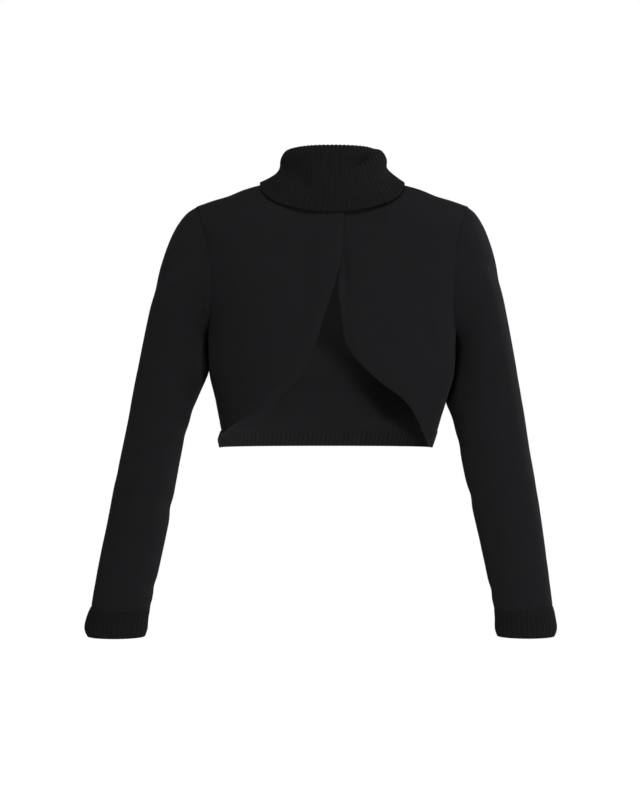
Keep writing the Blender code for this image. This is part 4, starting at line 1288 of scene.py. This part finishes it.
# %% Make the sleeves
def sleeve(name, side, rows, fold_rows):
    outer = np.array([(row[0], row[1]) for row in rows])
    lengths = lengths_along(outer, 0)
    row_at = smooth_table(SLEEVE_COLUMNS, rows, lengths)
    angles = even_angles(SLEEVE_ROUND)
    points, outward, across = armhole(side, angles)
    share = (np.linspace(0.0, 1.0, SLEEVE_ROWS_DOWN) ** SLEEVE_CROWDING)[:, None]
    fade = np.maximum(0.0, 1 - share / HEAD_BLEND) ** 2
    head = sleeve_section(row_at(np.zeros((1, 1))), angles[None, :])
    grid = sleeve_section(row_at(share * lengths[-1]), angles[None, :])
    grid = grid + fade[..., None] * (points[None, :] - head)
    normals = tube_normals(grid)
    down = lengths_along(grid, 0)
    fold = sleeve_fold(angles[None, :], grid[..., 2], fold_rows)
    fold *= ramp(down, 0.0, FOLDS_START) * ramp(down[-1:] - down, 0.0, FOLDS_START)
    grid = grid + normals * fold[..., None]
    normals = tube_normals(grid)
    grid[0] = points + 0.5 * SEAM * across
    normals[0] = outward
    normals[-1, :, 2] = 0.0
    for _ in range(NORMAL_PASSES):
        sideways = np.roll(normals, 1, axis=1) + np.roll(normals, -1, axis=1)
        normals[1:-1] = normals[:-2] + normals[2:] + sideways[1:-1]
        normals = unit(normals)
    shown = grid - normals * np.maximum(seam_sink(down), seam_sink(down[-1:] - down))[..., None]
    hidden = grid - CLOTH * normals
    obj = cloth_wall(name, shown, hidden, True, close_map(grid), (jersey, jersey_inside))
    soften_rim(obj)
    return settle(obj), grid


sleeve_right, sleeve_right_grid = sleeve(
    "sleeve_right_cloth", RIGHT, RIGHT_SLEEVE_ROWS, RIGHT_SLEEVE_FOLD_ROWS
)
sleeve_left, sleeve_left_grid = sleeve(
    "sleeve_left_cloth", LEFT, LEFT_SLEEVE_ROWS, LEFT_SLEEVE_FOLD_ROWS
)

# %% [markdown]
# ## A smooth skin through a few rings
#
# The cuffs and the collar are given by a few rings each. A natural cubic spline runs through them
# along every column, so that the cloth bends evenly and has no edge where a ring was given.

# %% Spline through rings
def spline_through(rings, steps):
    """Rows along the splines, with the given number of steps between one ring and the next."""
    gaps = np.linalg.norm(np.diff(rings, axis=0), axis=2).mean(axis=1)
    count = len(rings)
    system = np.eye(count)
    bends = np.zeros((count, rings[0].size))
    flat = rings.reshape(count, -1)
    slopes = np.diff(flat, axis=0) / gaps[:, None]
    for k in range(1, count - 1):
        system[k, k - 1 : k + 2] = gaps[k - 1], 2 * (gaps[k - 1] + gaps[k]), gaps[k]
        bends[k] = 6 * (slopes[k] - slopes[k - 1])
    bends = np.linalg.solve(system, bends)
    rows = []
    for k, number in enumerate(steps):
        last = k == count - 2
        b = np.linspace(0.0, 1.0, number + last, endpoint=last)[:, None]
        a = 1 - b
        curve = ((a**3 - a) * bends[k] + (b**3 - b) * bends[k + 1]) * gaps[k] ** 2 / 6
        rows.append(a * flat[k] + b * flat[k + 1] + curve)
    return np.concatenate(rows).reshape(-1, *rings.shape[1:])


def ribbed_skin(rings, ribs, columns_per_rib, steps):
    """A smooth skin through rings, with the same number of columns in each rib."""
    even = [spread_evenly(ring, ribs * columns_per_rib, True) for ring in rings]
    return spline_through(np.array(even), steps)


print("a rib of a cuff or of the roll neck is drawn with 7 or 8 columns of points")

# %% [markdown]
# ## The cuffs
#
# A cuff is a short ribbed tube, linked to the end of the sleeve. Ribbing draws together, so the
# cuff bulges a little over the end of the sleeve and turns in softly at its lower edge. Its four
# rings are given in the same columns as the sleeve's.

# %% Make the cuffs
LEFT_CUFF_ROWS = (
    (0.3078, -0.5888, 0.2258, -0.5888, 0.0320, 0.0325, -0.0120),
    (0.3108, -0.6060, 0.2272, -0.6060, 0.0328, 0.0333, -0.0130),
    (0.3116, -0.6200, 0.2276, -0.6200, 0.0328, 0.0333, -0.0136),
    (0.3085, -0.6285, 0.2305, -0.6285, 0.0312, 0.0317, -0.0140),
)
RIGHT_CUFF_ROWS = (
    (-0.3362, -0.5888, -0.2535, -0.5888, 0.0320, 0.0325, -0.0160),
    (-0.3420, -0.6060, -0.2566, -0.6060, 0.0328, 0.0333, -0.0170),
    (-0.3430, -0.6200, -0.2580, -0.6200, 0.0328, 0.0333, -0.0176),
    (-0.3390, -0.6285, -0.2612, -0.6285, 0.0312, 0.0317, -0.0180),
)
CUFF_RIBS = 34
CUFF_COLUMNS_PER_RIB = 8
CUFF_STEPS = (11, 9, 9)
CUFF_FIRST_RISE = 0.25
CUFF_RIBS_GROW = (0.0, 4.0)


def cuff(name, rows):
    dense = even_angles(FINE_STEPS)
    rings = [sleeve_section(dict(zip(SLEEVE_COLUMNS, values)), dense) for values in rows]
    grid = ribbed_skin(rings, CUFF_RIBS, CUFF_COLUMNS_PER_RIB, CUFF_STEPS)
    normals = make_level(tube_normals(grid))
    growth = ramp(np.arange(len(grid)), *CUFF_RIBS_GROW)
    shares = CUFF_FIRST_RISE + (1.0 - CUFF_FIRST_RISE) * growth
    form = (True, CUFF_RIBS, CUFF_COLUMNS_PER_RIB, shares)
    return rib_wall(name, grid, normals, *form), grid


cuff_right, cuff_right_grid = cuff("cuff_right_cloth", RIGHT_CUFF_ROWS)
cuff_left, cuff_left_grid = cuff("cuff_left_cloth", LEFT_CUFF_ROWS)

# %% [markdown]
# ## The roll neck
#
# The collar is one ribbed tube. It starts inside the neckline, stands up round the neck, folds
# over at the top and comes down outside, where its free edge lies on the shoulders. Its ribs are
# on the side that shows, which looks into the neck on the stand and away from it further on.
#
# A fold of the roll neck is a row in the columns of the body's folds. Its x is the length round
# the neck from the middle of the front, and its z counts down from the fold at the top, along the
# cloth.

# %% Sizes of the roll neck
NECK_SEAM = 0.0009
COLLAR_COLUMNS = ("half_width", "front", "back", "side_z", "front_z", "back_z")
COLLAR_ROWS = (
    (0.0620, 0.0570, 0.0550, 0.0320, 0.0330, 0.0400),
    (0.0622, 0.0575, 0.0555, 0.0405, 0.0430, 0.0490),
    (0.0662, 0.0620, 0.0600, 0.0460, 0.0482, 0.0535),
    (0.0712, 0.0662, 0.0638, 0.0410, 0.0430, 0.0490),
    (0.0750, 0.0700, 0.0690, 0.0245, 0.0180, 0.0250),
    (0.0862, 0.0765, 0.0790, 0.0125, -0.0120, 0.0020),
)
COLLAR_X = 0.0022
COLLAR_EDGE_REACH = 0.1000
COLLAR_EDGE_FRONT_Z = -0.0455
COLLAR_EDGE_BACK_Z = -0.0250
COLLAR_EDGE_ROUNDING = 0.85
COLLAR_LIFT = 0.0012
COLLAR_FRONT_LIFT = 0.0030
COLLAR_SQUARENESS = 2.2
COLLAR_RIBS = 72
COLLAR_COLUMNS_PER_RIB = 7
COLLAR_STEPS = (12, 5, 7, 7, 10, 10, 12)
COLLAR_RIBS_GROW = (0.0, 3.0)
COLLAR_RADIUS = 0.080
COLLAR_FOLD_ROWS = (
    (0.050, -0.021, 32.0, 0.026, 0.0066, -0.0076),
    (-0.009, -0.021, 92.0, 0.011, 0.0036, -0.0020),
    (-0.046, -0.052, 142.0, 0.030, 0.0130, -0.0064),
    (-0.020, -0.012, 172.0, 0.040, 0.0080, 0.0016),
    (-0.075, -0.058, 150.0, 0.022, 0.0070, 0.0018),
    (0.022, -0.058, 6.0, 0.034, 0.0100, -0.0010),
    (-0.085, -0.030, 160.0, 0.020, 0.0070, -0.0012),
    (0.118, -0.024, 22.0, 0.026, 0.0060, -0.0014),
    (-0.150, -0.020, 150.0, 0.030, 0.0070, -0.0014),
    (0.190, -0.036, 12.0, 0.030, 0.0090, -0.0014),
    (-0.215, -0.050, 170.0, 0.026, 0.0080, -0.0010),
)
COLLAR_TOP_RING = 3
print(len(COLLAR_FOLD_ROWS), "folds on the roll neck")

# %% The rings of the roll neck
def body_normal(x, z, face):
    """Out of the body's surface, from how its depth changes over a small step."""
    step = 0.0004
    y = body_depth(x, z, face)
    along_x = (body_depth(x + step, z, face) - body_depth(x - step, z, face)) / (2 * step)
    along_z = (y - body_depth(x, z - step, face)) / step
    return unit(np.stack([-along_x, np.ones_like(y), -along_z], axis=-1) * face)


def collar_edge(angles):
    """The turned-down edge, which lies on the body with a little air under it."""
    forward = np.cos(angles)
    side_z = float(shoulder_at(np.array(COLLAR_EDGE_REACH))["height"])
    end_z = np.where(forward > 0, COLLAR_EDGE_FRONT_Z, COLLAR_EDGE_BACK_Z)
    x = COLLAR_EDGE_REACH * np.sin(angles)
    z = side_z + (end_z - side_z) * np.abs(forward) ** COLLAR_EDGE_ROUNDING
    lift = COLLAR_LIFT + (COLLAR_FRONT_LIFT - COLLAR_LIFT) * np.maximum(forward, 0.0)
    faces = []
    for face in (FRONT, BACK):
        point = np.stack([x, body_depth(x, z, face), z], axis=-1)
        faces.append(point + (CLOTH + lift)[..., None] * body_normal(x, z, face))
    return np.where((forward > 0)[..., None], faces[0], faces[1])


def collar_ring(row, angles):
    """One ring, an oval that is squarer than an ellipse."""
    forward, sideways = np.cos(angles), np.sin(angles)
    power = 2 / COLLAR_SQUARENESS
    depth = np.where(forward > 0, row["front"], row["back"])
    end_z = np.where(forward > 0, row["front_z"], row["back_z"])
    x = COLLAR_X + row["half_width"] * np.sign(sideways) * np.abs(sideways) ** power
    y = -depth * np.sign(forward) * np.abs(forward) ** power
    z = row["side_z"] + (end_z - row["side_z"]) * np.abs(forward) ** NECKLINE_DIP
    return np.stack([x, y, z], axis=-1)


def collar_foot(angles):
    """The stand's foot, just inside the neckline."""
    points = neckline(angles)
    inward = (np.array([0.0, SHOULDER_Y, 0.0]) - points) * (1.0, 1.0, 0.0)
    return points + (NECK_SEAM + CLOTH) * unit(inward) - np.array([0.0, 0.0, 0.5 * CLOTH])

# %% Make the roll neck
def collar_normals(grid):
    """Out of the side that shows, which looks away from the neck at the turned-down edge."""
    normals = grid_normals(grid, True)
    return normals * -np.sign(normals[-2, 0, 1])


def collar():
    dense = even_angles(2 * FINE_STEPS)
    rings = [collar_foot(dense)]
    rings += [collar_ring(dict(zip(COLLAR_COLUMNS, values)), dense) for values in COLLAR_ROWS]
    rings.append(collar_edge(dense))
    grid = ribbed_skin(rings, COLLAR_RIBS, COLLAR_COLUMNS_PER_RIB, COLLAR_STEPS)
    turn = even_angles(grid.shape[1])
    around = COLLAR_RADIUS * ((turn + math.pi) % FULL_TURN - math.pi)
    down = lengths_along(grid, 0)
    down = down - down[sum(COLLAR_STEPS[:COLLAR_TOP_RING])]
    fold = fold_height(np.broadcast_to(around, down.shape), -down, COLLAR_FOLD_ROWS)
    grid = grid + collar_normals(grid) * fold[..., None]
    normals = collar_normals(grid)
    normals[0, :, 2] = 0.0
    normals = unit(normals)
    shares = ramp(np.arange(len(grid)), *COLLAR_RIBS_GROW)
    print("the roll neck's strip is", round(float(lengths_along(grid, 0)[-1].mean()), 3), "m long")
    form = (True, COLLAR_RIBS, COLLAR_COLUMNS_PER_RIB, shares)
    return rib_wall("collar_cloth", grid, normals, *form), grid


roll_neck, collar_grid = collar()

# %% [markdown]
# ## The linking stitches
#
# The panels of a knitted garment are joined by linking: one more thread runs along the seam in a
# chain, and from outside the chain shows as a fine plait that lies in the seam. Every seam line is
# kept as a row of points with the direction out of the cloth. A Geometry Nodes tree turns it into
# a curve, walks along it in even steps and lays one small V of yarn on each step. No two stitches
# of a seam are quite alike, so each has a slightly different size, from a fixed seed.

# %% The tree that lays the linking stitches
LINK_PITCH = 0.0026
LINK_LEG = (0.0031, 0.0012, 0.0008)
LINK_LEAN = math.radians(22.0)
LINK_SPREAD = 0.0005
LINK_SIZES = (0.88, 1.10)
LINK_SEED = 7
LINK_GRAIN = (("Segments", 6), ("Rings", 4), ("Radius", 0.5))


def linking_tree():
    inputs = (
        ("Pitch", "NodeSocketFloat", LINK_PITCH),
        ("Lean", "NodeSocketFloat", LINK_LEAN),
        ("Spread", "NodeSocketFloat", LINK_SPREAD),
        ("Seed", "NodeSocketInt", LINK_SEED),
        ("Yarn", "NodeSocketMaterial", None),
    )
    tree, given, made = new_geometry_tree("linking_stitches", inputs)
    grain = tree.nodes.new("GeometryNodeMeshUVSphere")
    for label, value in LINK_GRAIN:
        grain.inputs[label].default_value = value
    both_legs = tree.nodes.new("GeometryNodeJoinGeometry")
    for way in (-1.0, 1.0):
        leg = tree.nodes.new("GeometryNodeTransform")
        tree.links.new(grain.outputs["Mesh"], leg.inputs["Geometry"])
        leg.inputs["Scale"].default_value = LINK_LEG
        moves = (("Translation", 1, given["Spread"]), ("Rotation", 2, given["Lean"]))
        for label, axis, socket in moves:
            vector = tree.nodes.new("ShaderNodeCombineXYZ")
            tree.links.new(calculate(tree, "MULTIPLY", socket, way), vector.inputs[axis])
            tree.links.new(vector.outputs[0], leg.inputs[label])
        tree.links.new(leg.outputs["Geometry"], both_legs.inputs["Geometry"])
    curve = tree.nodes.new("GeometryNodeMeshToCurve")
    tree.links.new(given["Geometry"], curve.inputs[0])
    steps = tree.nodes.new("GeometryNodeResampleCurve")
    steps.mode = "LENGTH"
    tree.links.new(curve.outputs["Curve"], steps.inputs["Curve"])
    tree.links.new(given["Pitch"], steps.inputs["Length"])
    turn = tree.nodes.new("FunctionNodeAxesToRotation")
    turn.primary_axis, turn.secondary_axis = "Z", "X"
    tree.links.new(named_attribute(tree, "seam_out", "FLOAT_VECTOR"), turn.inputs[0])
    tree.links.new(tree.nodes.new("GeometryNodeInputTangent").outputs[0], turn.inputs[1])
    size = tree.nodes.new("FunctionNodeRandomValue")
    size.data_type = "FLOAT"
    size.inputs[2].default_value, size.inputs[3].default_value = LINK_SIZES
    tree.links.new(given["Seed"], size.inputs["Seed"])
    place = tree.nodes.new("GeometryNodeInstanceOnPoints")
    tree.links.new(steps.outputs["Curve"], place.inputs["Points"])
    tree.links.new(both_legs.outputs["Geometry"], place.inputs["Instance"])
    tree.links.new(turn.outputs[0], place.inputs["Rotation"])
    tree.links.new(size.outputs[1], place.inputs["Scale"])
    finish_tree(tree, place.outputs["Instances"], given["Yarn"], made)
    return tree


print("one linking stitch every", LINK_PITCH * 1000, "mm")

# %% The seam lines and their stitches
SEAM_POINTS = 60
UNDER_COLLAR = 0.02
SHOULDER_GAP = 0.001
UNDERARM_GAP = 0.002
SLEEVE_END_ROWS = 4


def seam_lines():
    """Each seam as its points, the directions out of the cloth, and whether it closes on itself."""
    lines = []
    for side, grid in ((RIGHT, sleeve_right_grid), (LEFT, sleeve_left_grid)):
        points, outward, _ = armholes[side]
        lines.append((points, outward, True))
        reach_from, reach_to = COLLAR_EDGE_REACH - UNDER_COLLAR, SHOULDER_POINT_X - SHOULDER_GAP
        reach = np.linspace(reach_from, reach_to, SEAM_POINTS)
        z = shoulder_at(reach)["height"]
        on_shoulder = np.stack([side * reach, np.full_like(reach, SHOULDER_Y), z], axis=-1)
        lines.append((on_shoulder, np.tile((0.0, 0.0, 1.0), (SEAM_POINTS, 1)), False))
        z = np.linspace(BACK_FOOT, UNDERARM_Z - UNDERARM_GAP, SEAM_POINTS)
        x = body_at(z)["left_x" if side == LEFT else "right_x"]
        on_side = np.stack([x, np.zeros_like(z), z], axis=-1)
        lines.append((on_side, np.tile((float(side), 0.0, 0.0), (SEAM_POINTS, 1)), False))
        under = slice(SLEEVE_END_ROWS, -SLEEVE_END_ROWS)
        lines.append((grid[under, 0], tube_normals(grid)[under, 0], False))
    for grid in (cuff_right_grid, cuff_left_grid):
        lines.append((grid[0], tube_normals(grid)[0], True))
    lines.append((hem_grid[0], make_level(hem_grid[0] - hem_grid[0].mean(axis=0)), False))
    return lines


def linking(lines):
    points = np.concatenate([line for line, _, _ in lines])
    edges, start = [], 0
    for line, _, closed in lines:
        first = start + np.arange(len(line))
        edges.append(np.stack([first, np.roll(first, -1)], axis=1)[: None if closed else -1])
        start += len(line)
    mesh = bpy.data.meshes.new("linking_stitches")
    mesh.from_pydata(points.tolist(), np.concatenate(edges).tolist(), [])
    out = np.concatenate([out for _, out, _ in lines])
    keep_attribute(mesh, "seam_out", "FLOAT_VECTOR", "POINT", out)
    obj = bpy.data.objects.new("linking_stitches", mesh)
    collection.objects.link(obj)
    run_tree(obj, linking_tree(), {"Yarn": link_yarn})
    obj = settle(obj)
    obj.data.shade_smooth()
    return obj


stitches = linking(seam_lines())

# %% [markdown]
# ## The pieces join the frame
#
# Each piece moves with the root body, and the frame's solid that it stands for is hidden.


lies_on_shoulders = ["back_cloth", "front_right_cloth", "front_left_cloth"]
pieces = (
    (front_right, "front_right", right_grid, False, "hung", ["front_left_cloth"]),
    (front_left, "front_left", left_grid, False, "hung", []),
    (back, "back", back_grid, False, "hung", []),
    (hem, "hem_band", hem_grid, False, "hung", ["back_cloth"]),
    (sleeve_right, "sleeve_right", sleeve_right_grid, True, "hung", []),
    (sleeve_left, "sleeve_left", sleeve_left_grid, True, "hung", []),
    (cuff_right, "cuff_right", cuff_right_grid, True, "hung", ["sleeve_right_cloth"]),
    (cuff_left, "cuff_left", cuff_left_grid, True, "hung", ["sleeve_left_cloth"]),
    (roll_neck, "collar", collar_grid, True, "folded", lies_on_shoulders),
)
for obj, finish, grid, around, held, rests_on in pieces:
    halves = ("_upper", "_lower") if "sleeve" in finish else ("",)
    nodes = [finish + half for half in halves]
    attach(obj, "root")
    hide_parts(*nodes)

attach(stitches, "root")

# %% [markdown]
# ## Floor, light and camera
#
# Black cloth shows its form only by its shades. The key light stands low at the wearer's left and
# throws the left front's shadow on the inside of the back. One from above draws the folds and the
# shadow under the roll neck, and some of it falls through the neck to the inside of the chest.
# Two soft ones fill the flanks and the sleeves. The last two stand behind: one draws the pale line
# down the left sleeve, and the other shows the back. The camera sees white all round, but that
# white gives little light of its own, because it would grey the edges of the cloth.

# %% Floor and surroundings
FLOOR_Z = -1.80
FLOOR_SIZE = 14.0
PALE = (0.9, 0.9, 0.9, 1.0)
WHITE = (1.0, 1.0, 1.0, 1.0)
FLOOR_ROUGHNESS = 0.9
WORLD_LIGHT = 0.10


def pale_floor():
    mesh = bpy.data.meshes.new("pale_floor")
    half = 0.5 * FLOOR_SIZE
    corners = [(x * half, y * half, FLOOR_Z) for x, y in ((-1, -1), (1, -1), (1, 1), (-1, 1))]
    mesh.from_pydata(corners, [], [(0, 1, 2, 3)])
    material = bpy.data.materials.new("pale_floor")
    material.use_nodes = True
    shader = material.node_tree.nodes["Principled BSDF"]
    shader.inputs["Base Color"].default_value = PALE
    shader.inputs["Roughness"].default_value = FLOOR_ROUGHNESS
    shader.inputs["Emission Color"].default_value = WHITE
    path = material.node_tree.nodes.new("ShaderNodeLightPath").outputs["Is Camera Ray"]
    material.node_tree.links.new(path, shader.inputs["Emission Strength"])
    mesh.materials.append(material)
    obj = bpy.data.objects.new("pale_floor", mesh)
    collection.objects.link(obj)


def white_world():
    world = bpy.data.worlds.new("white_studio")
    world.use_nodes = True
    tree = world.node_tree
    path = tree.nodes.new("ShaderNodeLightPath").outputs["Is Camera Ray"]
    strength = calculate(tree, "MULTIPLY_ADD", path, 1.0 - WORLD_LIGHT, WORLD_LIGHT)
    background = tree.nodes["Background"]
    background.inputs["Color"].default_value = WHITE
    tree.links.new(strength, background.inputs["Strength"])
    bpy.context.scene.world = world


pale_floor()
white_world()
print("the floor lies at z", FLOOR_Z)

# %% Light and camera
NEUTRAL = (1.0, 1.0, 1.0)
COOL = (0.97, 0.98, 1.0)
LIGHT_COLUMNS = ("name", "place", "size", "power", "colour")
LIGHT_ROWS = (
    ("key", (1.50, -2.4, -1.25), 0.4, 42.0, NEUTRAL),
    ("top", (-0.12, -1.20, 2.3), 0.6, 38.0, NEUTRAL),
    ("right_side", (-2.4, -1.8, 0.0), 0.9, 12.0, NEUTRAL),
    ("left_side", (2.6, -1.5, -0.2), 0.9, 10.0, COOL),
    ("rim", (1.7, 1.4, 0.0), 0.6, 7.0, COOL),
    ("back", (-0.2, 3.2, 0.35), 1.2, 26.0, COOL),
)
LIGHTS_AIM = (0.0, 0.0, -0.25)
CAMERA_PLACE = (-0.017, -2.6, -0.300)
CAMERA_LENS = 83.6


def soft_light(name, place, size, power, colour):
    lamp = bpy.data.lights.new(name, "AREA")
    lamp.shape, lamp.size, lamp.energy, lamp.color = "DISK", size, power, colour
    obj = bpy.data.objects.new(name, lamp)
    obj.location = place
    towards = Vector(LIGHTS_AIM) - Vector(place)
    obj.rotation_euler = towards.to_track_quat("-Z", "Y").to_euler()
    collection.objects.link(obj)


for row in LIGHT_ROWS:
    soft_light(**dict(zip(LIGHT_COLUMNS, row)))
lens = bpy.data.cameras.new("camera")
lens.lens = CAMERA_LENS
camera = bpy.data.objects.new("camera", lens)
camera.location = CAMERA_PLACE
camera.rotation_euler = (0.5 * math.pi, 0.0, 0.0)
collection.objects.link(camera)
bpy.context.scene.camera = camera
bpy.context.scene.view_settings.view_transform = "Standard"
print(len(LIGHT_ROWS), "lights, and a camera with a lens of", CAMERA_LENS, "mm")
